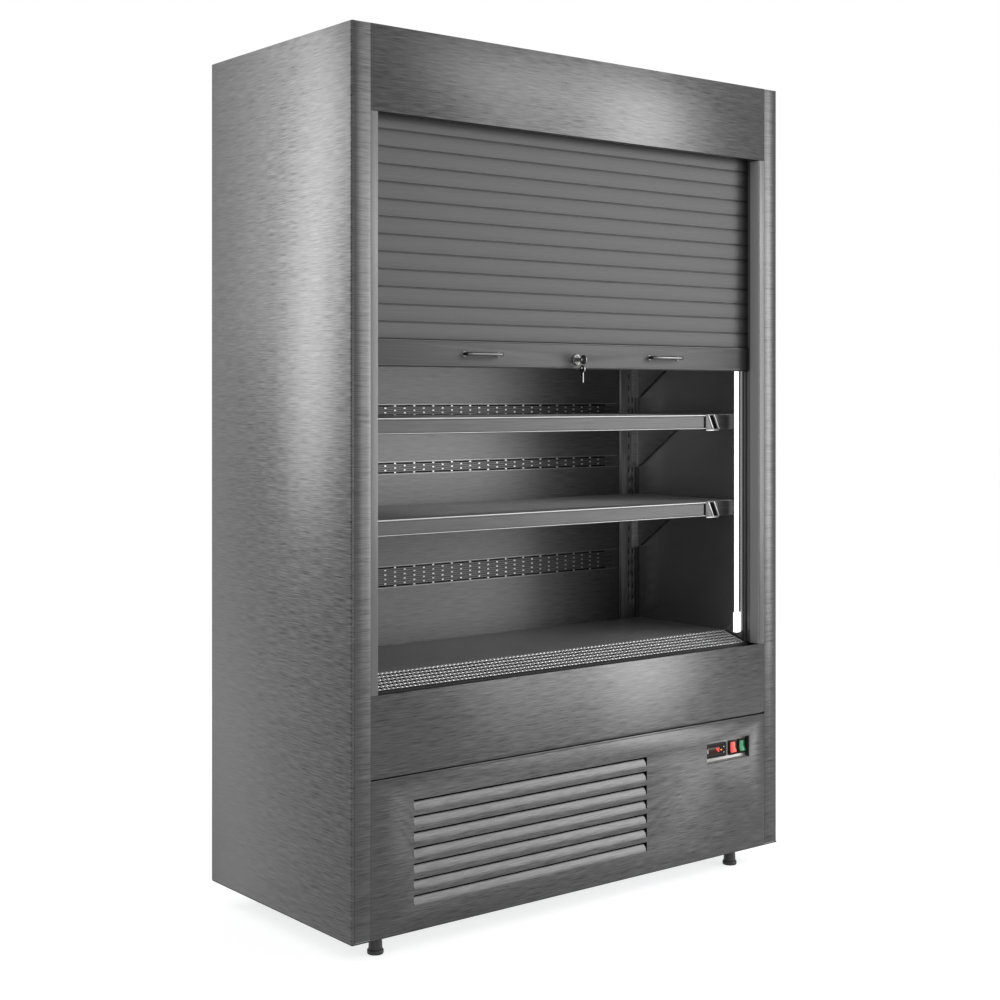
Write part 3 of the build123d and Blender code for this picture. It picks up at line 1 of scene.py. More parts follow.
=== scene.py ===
"""Looks of an open multideck display fridge whose slatted night shutter is half drawn.

Metres, +Z up. The front faces -Y and the origin is on the floor under the middle of the cabinet.
Sizes in the making are in millimetres and become metres when a piece is finished.
"""
import json
from math import atan2, cos, pi, radians, sin, tan, tau

import bmesh
import bpy
from mathutils import Matrix, Vector


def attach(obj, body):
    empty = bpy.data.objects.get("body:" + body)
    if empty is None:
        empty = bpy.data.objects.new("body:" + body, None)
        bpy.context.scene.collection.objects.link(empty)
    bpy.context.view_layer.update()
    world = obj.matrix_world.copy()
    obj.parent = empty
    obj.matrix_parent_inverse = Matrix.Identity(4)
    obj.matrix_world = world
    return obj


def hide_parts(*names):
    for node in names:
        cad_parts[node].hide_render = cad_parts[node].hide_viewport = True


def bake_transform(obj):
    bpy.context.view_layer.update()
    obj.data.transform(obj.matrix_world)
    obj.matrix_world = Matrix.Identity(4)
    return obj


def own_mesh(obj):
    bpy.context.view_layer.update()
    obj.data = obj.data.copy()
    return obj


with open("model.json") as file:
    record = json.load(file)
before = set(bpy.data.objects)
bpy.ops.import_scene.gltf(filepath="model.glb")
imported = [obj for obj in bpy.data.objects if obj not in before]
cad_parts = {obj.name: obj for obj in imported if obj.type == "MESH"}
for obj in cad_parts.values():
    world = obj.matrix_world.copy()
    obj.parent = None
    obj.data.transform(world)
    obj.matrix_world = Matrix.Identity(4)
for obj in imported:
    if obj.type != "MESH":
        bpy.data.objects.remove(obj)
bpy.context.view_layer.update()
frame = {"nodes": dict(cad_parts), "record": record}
scene = bpy.context.scene

MM = 0.001
# Measures in millimetres that several pieces share.
FRONT, FRONT_IN = -300, -298.8  # outer and inner face of the front's sheet
PANEL_FOOT = 55  # the panels' lower edge above the floor
SILL = 567.6  # lower and upper end of the guides' linings
HEADER = 1796
GUIDE_IN = 584.7  # half the width between the guides
SLAT_PITCH = 37.5
LOCK_Z, HANDLE_Z = 1282, 1290.5  # the lock and the handles above the floor
RING_Y = -285  # the key ring's plane
UP_Z, DOWN_Z = 320.75, 306.75  # the thermostat's buttons

body_of = {
    node: body for body, nodes in frame["record"]["behaviour"]["bodies"].items() for node in nodes
}


# ---------------- nodes
def linear(code):
    """A linear RGBA colour from an sRGB hex code."""
    parts = [int(code[place:place + 2], 16) / 255 for place in (1, 3, 5)]
    return (*[p / 12.92 if p <= 0.04045 else ((p + 0.055) / 1.055) ** 2.4 for p in parts], 1.0)


def outlet(value):
    """The first enabled output of a node; anything else is given back as it is."""
    if isinstance(value, bpy.types.Node):
        return next(socket for socket in value.outputs if socket.enabled)
    return value


def add(tree, kind, inputs=None, **settings):
    """Adds a node; an input is a value, a socket, or a node for its first output."""
    made = tree.nodes.new(kind)
    for name, value in settings.items():
        setattr(made, name, value)
    for name, value in (inputs or {}).items():
        if not isinstance(name, int):
            name = next(i for i, s in enumerate(made.inputs) if s.name == name and s.enabled)
        value = outlet(value)
        if isinstance(value, bpy.types.NodeSocket):
            tree.links.new(value, made.inputs[name])
        else:
            made.inputs[name].default_value = value
    return made


def maths(tree, operation, *values):
    """A math node with its inputs in order."""
    return add(tree, "ShaderNodeMath", dict(enumerate(values)), operation=operation)


def between(tree, share, dark, light):
    """A mix of two hex colours."""
    ends = {"Factor": share, "A": linear(dark), "B": linear(light)}
    return add(tree, "ShaderNodeMix", ends, data_type="RGBA")


def ranged(tree, value, given=(0.0, 1.0), wanted=(0.0, 1.0)):
    """A map from one range of values to another."""
    inputs = dict(zip(("From Min", "From Max", "To Min", "To Max"), (*given, *wanted)))
    return add(tree, "ShaderNodeMapRange", {"Value": value, **inputs})


def raised(tree, height, strength, distance):
    """A bump of a height in metres."""
    inputs = {"Strength": strength, "Distance": distance, "Height": height}
    return add(tree, "ShaderNodeBump", inputs)


def object_place(tree):
    return add(tree, "ShaderNodeTexCoord").outputs["Object"]


def shaded(name, links, **constants):
    """A material whose shader holds these constants; links(tree, shader) wires its patterns."""
    made = bpy.data.materials.new(name)
    made.use_nodes = True
    tree = made.node_tree
    shader = tree.nodes["Principled BSDF"]
    for key, value in constants.items():
        title = key.replace("_", " ").title().replace("Ior", "IOR")
        shader.inputs[title].default_value = value
    links(tree, shader)
    return made


def wire(tree, shader, **sockets):
    """Links named inputs of the shader to nodes."""
    for key, value in sockets.items():
        tree.links.new(outlet(value), shader.inputs[key.replace("_", " ").title()])


# ---------------- materials
def grain(tree, across_mm, along_mm, detail=2.0, seed=0.0):
    """Streaks on the brush map: noise squeezed across the lines and drawn out along them."""
    place = add(tree, "ShaderNodeUVMap", uv_map="brush")
    scale = (1000 / across_mm, 1000 / along_mm, 1)
    inputs = {"Vector": place, "Location": (seed, seed, 0), "Scale": scale}
    stretched = add(tree, "ShaderNodeMapping", inputs)
    return add(tree, "ShaderNodeTexNoise", {"Vector": stretched, "Scale": 1.0, "Detail": detail})


def brushed(
    name, dark, light, roughness, fine_mm=(2.2, 46.0), turn=0.8, relief=0.12, metallic=1.0
):
    """Belt-brushed metal: long parallel scratches that smear a highlight across themselves.

    The scratches of a 180 grit belt are 0.05 mm wide. They are drawn as coarse as a pixel, to show.
    """
    def links(tree, shader):
        fine = grain(tree, *fine_mm, detail=3.0)
        broad = grain(tree, 8.0, 300.0, seed=3.7)
        both = add(tree, "ShaderNodeMix", {"Factor": 0.22, "A": fine, "B": broad})
        tone = between(tree, ranged(tree, both, (0.34, 0.66)), dark, light)
        rough = ranged(tree, both, (0.3, 0.7), (roughness - 0.05, roughness + 0.07))
        bump = raised(tree, fine, relief, 0.0004)
        lines = add(tree, "ShaderNodeTangent", direction_type="UV_MAP", uv_map="brush")
        wire(tree, shader, Base_Color=tone, Roughness=rough, Normal=bump, Tangent=lines)

    return shaded(name, links, metallic=metallic, anisotropic=turn)


def mottled(name, dark, light, size_mm, roughness, relief=0.0, spread=0.06, **constants):
    """An even, slightly cloudy tone with a fine grain, for mouldings, coatings and castings."""
    def links(tree, shader):
        inputs = {"Vector": object_place(tree), "Scale": 1000 / size_mm, "Detail": 4.0}
        cloud = add(tree, "ShaderNodeTexNoise", inputs)
        rough = ranged(tree, cloud, (0.3, 0.7), (roughness - spread, roughness + spread))
        wire(tree, shader, Base_Color=between(tree, cloud, dark, light), Roughness=rough)
        if relief:
            wire(tree, shader, Normal=raised(tree, cloud, relief, 0.0003))

    return shaded(name, links, **constants)


def spangled(name, dark, light, size_mm):
    """Hot-dip galvanised sheet: flat zinc crystals, each with its own grey and its own gloss."""
    def links(tree, shader):
        inputs = {"Vector": object_place(tree), "Scale": 1000 / size_mm}
        cells = add(tree, "ShaderNodeTexVoronoi", inputs)
        value = add(tree, "ShaderNodeSeparateColor", {"Color": cells.outputs["Color"]})
        rough = ranged(tree, value.outputs[1], wanted=(0.34, 0.52))
        wire(tree, shader, Base_Color=between(tree, value, dark, light), Roughness=rough)

    return shaded(name, links, metallic=1.0)


# The faint long lines that rolls and dies leave.
DRAWN = {"fine_mm": (1.6, 140.0), "turn": 0.3}
# AISI 430 stainless, belt brushed along the sheet: dark grey with long level scratches.
outer_steel = brushed("brushed stainless sheet", "#404040", "#585858", 0.31, turn=0.75, relief=0.09)
# The side panels, brushed with a coarser belt, so that their scratches stand out more.
side_steel = brushed(
    "coarsely brushed stainless sheet", "#363636", "#606060", 0.31, turn=0.75, relief=0.15
)
# The louvre blades, pressed out of the same sheet: the press has stretched the steel and dulled it.
# Their slightly paler tone is painted light on blades that face up.
blade_steel = brushed("pressed stainless blade", "#474747", "#5f5f5f", 0.38)
# The same steel on the air panel and the ceiling, with a softer grain.
liner_steel = brushed("brushed stainless lining", "#424242", "#555555", 0.44, turn=0.5, relief=0.08)
# Side linings, bright annealed: smooth, with a soft reflection of what is near.
wall_steel = mottled(
    "bright annealed stainless", "#747474", "#787878", 300.0, 0.27, spread=0.0, metallic=0.75
)
# Shelves: stainless with a short, dull grain that scatters the light.
shelf_steel = brushed(
    "dull brushed stainless", "#7a7a7a", "#959595", 0.46, fine_mm=(2.0, 60.0), turn=0.4
)
# The deck's sheet, scrubbed dull, with longer scratches than the shelves.
deck_steel = brushed(
    "brushed stainless deck", "#767676", "#909090", 0.38, fine_mm=(2.0, 90.0), turn=0.3,
    metallic=0.5,
)
# The uprights' rolled steel, a little paler than the panel beside them.
upright_steel = brushed(
    "rolled stainless upright", "#585858", "#6c6c6c", 0.40, relief=0.05, **DRAWN
)
# The baffles behind the air panel's slots: the same sheet, left unbrushed, in a darker tone that
# paints the shade behind the slots.
baffle_shade_steel = brushed("stainless baffle", "#343434", "#424242", 0.5, **DRAWN)
# The nibs of the air panel and the clips' ribs, in a paler steel that paints their highlights.
highlight_nib_steel = mottled("stainless nib with painted highlight", "#8e8e8e", "#a6a6a6", 2.0, 0.30, metallic=0.7)
# Price rail: rolled stainless, drawn bright, with a satin face.
rail_steel = brushed(
    "rolled stainless rail", "#3a3a3a", "#4a4a4a", 0.38, fine_mm=(1.6, 120.0), turn=0.3,
    relief=0.05,
)
# The rails' lips and other rolled edges, in a paler steel that paints a highlight along them.
highlight_bead_steel = brushed(
    "stainless lip with painted highlight", "#747474", "#8c8c8c", 0.34, fine_mm=(1.6, 120.0), turn=0.2,
    relief=0.03,
)
# Roll-formed aluminium slats, anodised grey: satin, with faint drawing lines.
slat_metal = brushed("anodised aluminium slat", "#434343", "#505050", 0.55, relief=0.05, **DRAWN)
# Extruded aluminium guides, anodised natural: the oxide scatters light, and die lines run along.
guide_metal = brushed(
    "anodised aluminium guide", "#585858", "#686868", 0.38, fine_mm=(1.2, 260.0), relief=0.05,
    metallic=0.6,
)
# Perforated return-air grille: bright stainless with punched, deburred holes that glint at the rim.
grille_steel = brushed(
    "punched stainless grille", "#a8a8a8", "#d0d0d0", 0.32, fine_mm=(2.0, 90.0), turn=0.2,
    metallic=0.5,
)
# Polished dark chrome plate on zinc: a clear mirror.
chrome = mottled(
    "polished chrome plate", "#4c4c4c", "#5c5c5c", 30.0, 0.12, spread=0.02, metallic=1.0
)
# Nickel-plated key steel: bright, a little rubbed.
key_metal = mottled("nickel plated steel", "#6e6e6c", "#868684", 6.0, 0.28, metallic=1.0)
# Zinc-plated fasteners: pale, satin.
zinc_plate = mottled("zinc plated steel", "#a4a7aa", "#c0c3c6", 4.0, 0.34, metallic=1.0)
# Galvanised sheet on the back, base and machine: grey crystals 12 mm across.
galvanised = spangled("galvanised sheet", "#85898c", "#a7abae", 12.0)
# The controls' recess: satin zinc-plated sheet.
recess_steel = mottled("satin zinc sheet", "#8a8a88", "#a2a29f", 3.0, 0.42, metallic=0.4)
# Moulded black polyamide feet and fans: fine grained, half matt.
black_nylon = mottled("moulded black nylon", "#0d0d0d", "#191919", 1.2, 0.52, relief=0.3)
# Extruded black rubber: matt with a dusty bloom.
black_rubber = mottled("extruded black rubber", "#0c0c0c", "#1b1b1b", 3.0, 0.70, relief=0.2)
# Black facing on the foam boards, hidden in use.
foam_facing = mottled("black foam facing", "#101010", "#1a1a1a", 5.0, 0.85, relief=0.3)
# Near-black mats and inserts behind holes and slits: painted shade, so that nothing shows through
# the holes in front of them.
shade_black = mottled("matt black painted shade", "#030303", "#070707", 3.0, 0.9, specular_ior_level=0.08)
# Thermostat and switch cases: moulded ABS with a spark-eroded texture.
black_abs = mottled(
    "moulded black ABS", "#0c0a09", "#181413", 0.8, 0.40, relief=0.15, specular_ior_level=0.12
)
# Grey ABS of the switchgear box.
grey_abs = mottled("moulded grey ABS", "#8b8d90", "#9a9c9f", 1.5, 0.42, relief=0.15)
# White polycarbonate comb at the air outlet: moulded, lightly glossy.
white_abs = mottled("moulded white polycarbonate", "#e4e4e2", "#f0f0ee", 2.0, 0.35)
# Die-cast end clips of the rails, barrel-polished grey.
cast_clip = mottled("polished die-cast clip", "#3e3e3e", "#4c4c4c", 3.0, 0.34, metallic=0.8)
# Black enamel on the compressor: thick, glossy, with a soft orange peel.
black_enamel = mottled("black enamel", "#0b0b0c", "#151517", 8.0, 0.18, relief=0.1, coat_weight=0.5)
# Mill-finish aluminium fins.
fin_metal = mottled("aluminium fin stock", "#b4b6b8", "#cacccd", 9.0, 0.36, metallic=1.0)
# Drawn copper tube, lightly tarnished.
copper = mottled("drawn copper tube", "#9a5637", "#c97f57", 14.0, 0.30, metallic=1.0)
# Coloured polycarbonate rockers: glossy, lit from behind by their own lamps.
red_lens = mottled(
    "lit red polycarbonate", "#b01c0e", "#cc2c16", 3.0, 0.22, emission_color=linear("#ff3214"),
    emission_strength=0.42, specular_ior_level=0.3,
)
green_lens = mottled(
    "lit green polycarbonate", "#06603a", "#0a7a4a", 3.0, 0.22,
    emission_color=linear("#0c8f58"), emission_strength=0.1, specular_ior_level=0.3,
)
# Smoked acrylic window of the display.
smoked_acrylic = mottled("smoked acrylic", "#2a160c", "#362012", 4.0, 0.16, specular_ior_level=0.12)
# A red light-emitting digit in the window and an amber lamp beside it.
lit_digit = mottled(
    "red LED segment", "#ff2a1a", "#ff3a24", 1.0, 0.4, emission_color=linear("#ff2a22"),
    emission_strength=2.6,
)
amber_digit = mottled(
    "amber LED segment", "#ff8a2a", "#ff9a3a", 1.0, 0.4, emission_color=linear("#ff8a1a"),
    emission_strength=1.8,
)
# Grey polypropylene brush pile that seals the shutter in its guides.
brush_pile = mottled("grey brush pile", "#8a8a8a", "#a2a2a2", 0.9, 0.8, relief=0.5)
# White pad-printed marks.
white_ink = mottled("white printed ink", "#dcdcdc", "#ececec", 0.6, 0.5)
# Opal polycarbonate tubes over the LEDs: evenly white and giving a little light. The sockets wear
# it too, where the glow is painted.
opal_tube = mottled(
    "opal polycarbonate tube", "#fbfcfc", "#ffffff", 5.0, 0.35,
    emission_color=linear("#ffffff"), emission_strength=1.5,
)


# ---------------- making pieces
def brush_map(mesh, lines):
    """A UV map in metres for the grain: V runs along the brush lines and U across them."""
    layer = mesh.uv_layers.new(name="brush")
    ways = {"level": ((1, 2), (0, 2), (0, 1)), "upright": ((2, 1), (2, 0), (1, 0))}[lines]
    for face in mesh.polygons:
        along, across = ways[max(range(3), key=lambda axis: abs(face.normal[axis]))]
        for loop in face.loop_indices:
            place = mesh.vertices[mesh.loops[loop].vertex_index].co
            layer.data[loop].uv = (place[across], place[along])


def plain_mesh(carrier):
    """The evaluated mesh of an object, with its modifiers worked in."""
    carrier_now = carrier.evaluated_get(bpy.context.evaluated_depsgraph_get())
    return bpy.data.meshes.new_from_object(carrier_now)


def mesh_from(work, name):
    """A mesh made of a bmesh, which is freed."""
    mesh = bpy.data.meshes.new(name)
    work.to_mesh(mesh)
    work.free()
    return mesh


def placed(mesh, name, finish, nodes=(), body=None, edge=0.0, lines="level", crease=35):
    """Makes a mesh in metres into a finished piece on its body, standing for CAD nodes."""
    piece = bpy.data.objects.new(name, mesh)
    scene.collection.objects.link(piece)
    if edge:
        soft = piece.modifiers.new("edge", "BEVEL")
        soft.width, soft.segments, soft.limit_method = edge * MM, 2, "ANGLE"
        soft.angle_limit, soft.use_clamp_overlap = radians(40), True
        mesh = plain_mesh(piece)
        piece.modifiers.clear()
        piece.data = mesh
    mesh.shade_smooth()
    mesh.set_sharp_from_angle(angle=radians(crease))
    brush_map(mesh, lines)
    mesh.materials.clear()
    mesh.materials.append(finish)
    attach(piece, body or body_of[nodes[0]])
    if nodes:
        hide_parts(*nodes)
    return piece


def finished(work, name, finish, weld=True, **choices):
    """Makes a bmesh in millimetres into a finished piece; tiles that touch aren't welded.

    A piece that stands for no CAD node rides on the cabinet, if no other body is given.
    """
    if weld:
        bmesh.ops.remove_doubles(work, verts=work.verts, dist=0.001)
        bmesh.ops.recalc_face_normals(work, faces=work.faces)
    if "nodes" not in choices:
        choices.setdefault("body", "cabinet")
    mesh = mesh_from(work, name)
    mesh.transform(Matrix.Scale(MM, 4))
    return placed(mesh, name, finish, **choices)


def dressed(finish, *nodes, **choices):
    """Welded copies of CAD nodes with softened edges and the brush map, standing for the nodes."""
    for node in nodes:
        work = bmesh.new()
        work.from_mesh(frame["nodes"][node].data)
        bmesh.ops.remove_doubles(work, verts=work.verts, dist=1e-6)
        bmesh.ops.dissolve_limit(work, angle_limit=radians(0.5), verts=work.verts, edges=work.edges)
        placed(mesh_from(work, node), node + "_finish", finish, nodes=(node,), **choices)


def box(work, x, y, z):
    """Adds a closed box between the low and high ends of three spans."""
    size = [high - low for low, high in (x, y, z)]
    middle = [(high + low) / 2 for low, high in (x, y, z)]
    place = Matrix.Translation(middle) @ Matrix.Diagonal((*size, 1))
    bmesh.ops.create_cube(work, size=1, matrix=place)


def mirrored(work, x, y, z):
    """Adds a box on the right side and its mirror image on the left."""
    box(work, (-x[1], -x[0]), y, z)
    box(work, x, y, z)


def bridged(work, low, high):
    """Adds the wall between two rings of equally many points."""
    for index in range(len(low)):
        after = (index + 1) % len(low)
        work.faces.new((low[index], low[after], high[after], high[index]))


def filled(work, loops):
    """Fills the area between an outline and the holes in it."""
    edges = [
        work.edges.get(pair) or work.edges.new(pair)
        for loop in loops for pair in zip(loop, loop[1:] + loop[:1])
    ]
    bmesh.ops.triangle_fill(work, edges=edges, use_beauty=True)


def around(steps):
    """Angles in even steps round a circle."""
    return [tau * step / steps for step in range(steps)]


def half_turn(steps):
    """Angles in even steps from 0 to a half turn, with both ends."""
    return [pi * step / steps for step in range(steps + 1)]


def loft(work, loops, closed_ends=True):
    """Skins rings of equally many points, one after the other, and caps the first and the last."""
    rings = [[work.verts.new(point) for point in loop] for loop in loops]
    for low, high in zip(rings, rings[1:]):
        bridged(work, low, high)
    if closed_ends:
        work.faces.new(rings[0][::-1])
        work.faces.new(rings[-1])


def at_level(pair, axis, level):
    """A point from its two other coordinates, in X, Y, Z order, and its level along an axis."""
    values = list(pair)
    values.insert("xyz".index(axis), level)
    return values


def prism(work, outline, axis, span):
    """Adds a closed prism of an outline along an axis."""
    loft(work, [[at_level(pair, axis, level) for pair in outline] for level in span])


def turned(work, profile, centre, axis, steps, hollow=False):
    """Adds a turned body from (radius, height) points; a hollow one closes on itself."""
    def point(radius, height, angle):
        values = at_level((radius * cos(angle), radius * sin(angle)), axis, height)
        return [value + base for value, base in zip(values, centre)]

    rings = profile + profile[:1] if hollow else profile
    loft(work, [[point(*ring, angle) for angle in around(steps)] for ring in rings], not hollow)


def rod(work, corners, bend, radius, steps):
    """Adds a round rod along straight runs in a plane, joined by arcs, with flat ends."""
    spots = [Vector(corner) for corner in corners]
    path = [spots[0]]
    for before, here, after in zip(spots, spots[1:], spots[2:]):
        into, out = (here - before).normalized(), (after - here).normalized()
        turn = into.angle(out)
        start = here - into * bend * tan(turn / 2)
        hub = start + bend * (out - into * cos(turn)).normalized()
        side = start - hub
        for step in range(7):
            angle = turn * step / 6
            path.append(hub + side * cos(angle) + into * bend * sin(angle))
    path.append(spots[-1])
    first = (path[1] - path[0]).normalized()
    across = first.cross((path[-1] - path[1]).normalized()).normalized()
    rings = []
    for index, place in enumerate(path):
        ahead = path[min(index + 1, len(path) - 1)] - path[max(index - 1, 0)]
        other = ahead.normalized().cross(across)
        rings.append([place + radius * (cos(a) * across + sin(a) * other) for a in around(steps)])
    loft(work, rings)


def plate(work, axis, span, outline, holes=()):
    """Adds a closed plate between two levels of an axis: an outline with holes."""
    ends = []
    for level in span:
        rings = [
            [work.verts.new(at_level(pair, axis, level)) for pair in loop]
            for loop in (outline, *holes)
        ]
        filled(work, rings)
        ends.append(rings)
    for low, high in zip(*ends):
        bridged(work, low, high)


def punched_tile(width, height, hole, front, back, rim):
    """A tile mesh in the XZ plane: a rectangle of sheet with a hole whose front rim is broken."""
    work = bmesh.new()

    def ring(points, level):
        return [work.verts.new((x, level, z)) for x, z in points]

    wide = [(x + rim * cos(atan2(z, x)), z + rim * sin(atan2(z, x))) for x, z in hole]
    outline = rectangle((-width / 2, width / 2), (-height / 2, height / 2))
    outer_front, outer_back = ring(outline, front), ring(outline, back)
    mouth, throat, rear = ring(wide, front), ring(hole, front + rim), ring(hole, back)
    for pair in ((outer_front, outer_back), (mouth, throat), (throat, rear)):
        bridged(work, *pair)
    filled(work, (outer_front, mouth))
    filled(work, (outer_back, rear))
    return tile_of(work)


def rectangle(x, z):
    """The corners of a rectangle from its spans."""
    return [(x[0], z[0]), (x[1], z[0]), (x[1], z[1]), (x[0], z[1])]


def circle(radius, steps, centre):
    return [(centre[0] + radius * cos(a), centre[1] + radius * sin(a)) for a in around(steps)]


def slot_outline(length, height, steps=4):
    """A slot with round ends, as (x, z) points."""
    radius, reach = height / 2, (length - height) / 2
    right = [(reach + radius * sin(a), -radius * cos(a)) for a in half_turn(steps)]
    return right + [(-x, -z) for x, z in right]


def bow_outline(radius, hub_z, start, degrees):
    """A key's bow as (y, z) points about the ring's plane, from an angle over some degrees."""
    angles = [radians(start + degrees * step / 26) for step in range(27)]
    return [(radius * cos(a), hub_z + radius * sin(a)) for a in angles]


# ---------------- repeats
def row_tree():
    """Geometry nodes that repeat a tile in rows, every other row moved by a share of the step."""
    tree = bpy.data.node_groups.new("rows of tiles", "GeometryNodeTree")
    kinds = {
        "Tile": "Object", "Columns": "Int", "Rows": "Int", "Start": "Vector",
        "Column step": "Vector", "Row step": "Vector", "Stagger": "Float",
    }
    for name, kind in kinds.items():
        tree.interface.new_socket(name, in_out="INPUT", socket_type="NodeSocket" + kind)
    tree.interface.new_socket("Geometry", in_out="OUTPUT", socket_type="NodeSocketGeometry")

    def vectors(operation, inputs):
        return add(tree, "ShaderNodeVectorMath", inputs, operation=operation)

    given = add(tree, "NodeGroupInput").outputs
    index = add(tree, "GeometryNodeInputIndex")
    count = maths(tree, "MULTIPLY", given["Columns"], given["Rows"])
    column = maths(tree, "MODULO", index, given["Columns"])
    row = maths(tree, "FLOOR", maths(tree, "DIVIDE", index, given["Columns"]))
    odd = maths(tree, "MODULO", row, 2.0)
    moved = maths(tree, "MULTIPLY_ADD", odd, given["Stagger"], column)
    across = vectors("SCALE", {"Vector": given["Column step"], "Scale": moved})
    upward = vectors("SCALE", {"Vector": given["Row step"], "Scale": row})
    place = vectors("ADD", {0: vectors("ADD", {0: across, 1: upward}), 1: given["Start"]})
    points = add(tree, "GeometryNodePoints", {"Count": count, "Position": place})
    tile = add(tree, "GeometryNodeObjectInfo", {"Object": given["Tile"]}).outputs["Geometry"]
    copies = add(tree, "GeometryNodeInstanceOnPoints", {"Points": points, "Instance": tile})
    solid = add(tree, "GeometryNodeRealizeInstances", {"Geometry": copies})
    add(tree, "NodeGroupOutput", {"Geometry": solid})
    return tree


ROWS = row_tree()
ROW_INPUTS = [i.identifier for i in ROWS.interface.items_tree if i.in_out == "INPUT"]


def repeated(
    tile, start, column_step=(0, 0, 0), row_step=(0, 0, 0), columns=1, rows=1, stagger=0.0
):
    """A bmesh, in millimetres, of a tile mesh repeated by the geometry nodes."""
    tile_holder = bpy.data.objects.new("tile", tile)
    carrier = bpy.data.objects.new("rows", bpy.data.meshes.new("rows"))
    scene.collection.objects.link(tile_holder)
    scene.collection.objects.link(carrier)
    rows_modifier = carrier.modifiers.new("rows", "NODES")
    rows_modifier.node_group = ROWS
    values = (tile_holder, columns, rows, start, column_step, row_step, stagger)
    for identifier, value in zip(ROW_INPUTS, values):
        rows_modifier[identifier] = value
    mesh = plain_mesh(carrier)
    carrier.modifiers.clear()
    bpy.data.objects.remove(carrier)
    bpy.data.objects.remove(tile_holder)
    work = bmesh.new()
    work.from_mesh(mesh)
    return work


def join(work, other):
    """Moves the faces of one bmesh into another."""
    work.from_mesh(mesh_from(other, "joined"))


def tile_of(work):
    """A tile mesh from a bmesh in millimetres."""
    bmesh.ops.recalc_face_normals(work, faces=work.faces)
    return mesh_from(work, "tile")


# ---------------- shell
def cabinet_shell():
    dressed(side_steel, "left_side_panel", "right_side_panel", edge=0.5, crease=50)
    fronts = ("front_posts", "roof_panel", "header_fascia", "apron_panel")
    dressed(outer_steel, *fronts, edge=0.4, crease=50)
    dressed(galvanised, "base_pan", edge=0.3)
    dressed(foam_facing, "insulation_panels")


def louvred_kick_panel():
    """Machine cover: a sheet with a control window, and blades cut free and bent inwards."""
    half, head, lip = 602.7, 383.5, 388.4
    left, right, opening, row_step, rows = -492.0, 192.0, 22, 34, 7
    lows = [107.5 + row_step * row for row in range(rows)]
    holes = [rectangle((left, right), (low, low + opening)) for low in lows]
    window_x, window_z = (396, 547.5), (286.4, 339.5)
    holes.append(rectangle(window_x, window_z))
    sheet = bmesh.new()
    outline = rectangle((-half, half), (PANEL_FOOT, head))
    plate(sheet, "y", (FRONT, FRONT_IN), outline, holes)
    box(sheet, (-half, half), (FRONT_IN, -286.8), (head - 1.2, head))
    # Its upper edge stands up a little in the joint under the apron's roll, and catches the light.
    box(sheet, (-half, half), (-299.6, -298.2), (head - 0.1, lip))
    finished(sheet, "kick_panel_sheet", outer_steel, nodes=("kick_panel",), edge=0.25, crease=50)
    # One blade: the sheet curves in from its lower edge and ends in a small rolled lip.
    face = [(FRONT + 6.4 * (step / 8) ** 1.7, 17.2 * step / 8 - 0.6) for step in range(9)]
    rolled = [(-292.9, 17.1), (-292.4, 16.4)]
    blade = bmesh.new()
    prism(
        blade, face + rolled + [(y + 1.2, z - 0.4) for y, z in face[::-1]], "x",
        (left + 1.2, right - 2.8),
    )
    blades = repeated(tile_of(blade), (0, 0, lows[0]), row_step=(0, 0, row_step), rows=rows)
    finished(blades, "kick_panel_blades", blade_steel, weld=False, crease=50)
    # A near-black mat lies behind the blades: painted shade in the louvres.
    mat = bmesh.new()
    box(mat, (left - 6, right + 6), (-290.8, -289.4), (lows[0] - 6, lows[-1] + 28))
    finished(mat, "kick_panel_filter_mat", shade_black)
    # Black strips on the control window's right and lower edges, and under the sheets' lower edges:
    # painted shade in the window's corners and under the sheets.
    shade_strip_z = (53.0, 55.0)
    shade_strips = bmesh.new()
    box(shade_strips, (546.2, 547.4), (-298.7, -287.2), (288.1, 339.3))
    box(shade_strips, window_x, (-299.9, FRONT_IN), (286.5, 288.0))
    box(shade_strips, (-649.4, 649.4), (-299.4, -297.0), shade_strip_z)
    mirrored(shade_strips, (647.2, 649.4), (-297.0, 298.0), shade_strip_z)
    finished(shade_strips, "sheet_edge_tapes", black_rubber)


def screwed_back_panel():
    """Vented back cover, held by countersunk screws round its edge and down its middle."""
    half, head, back = 648.8, 1979.9, 300
    spots = [(x, z) for x in (-630, 0, 630) for z in range(85, 1960, 268)]
    spots += [(x, z) for x in (-420, -210, 210, 420) for z in (85, 1961)]
    vents = [
        [(x + dx, z + dz) for dx, dz in slot_outline(380, 9)]
        for x in (-208, 208) for z in range(105, 314, 26)
    ]
    gland = circle(11.3, 24, (457.0, 150))
    holes = vents + [circle(4.7, 12, spot) for spot in spots] + [gland]
    sheet = bmesh.new()
    outline = rectangle((-half, half), (PANEL_FOOT, head))
    plate(sheet, "y", (back - 1.2, back), outline, holes)
    finished(sheet, "back_panel_sheet", galvanised, nodes=("back_panel",))
    head_profile = [(4.5, 298.9), (4.5, 299.7), (3.9, 299.95), (1.2, 299.95), (0.4, 299.2)]
    screws = bmesh.new()
    for x, z in spots:
        turned(screws, head_profile, (x, 0, z), "y", 12)
    finished(screws, "back_panel_screws", zinc_plate)


cabinet_shell()
louvred_kick_panel()
screwed_back_panel()


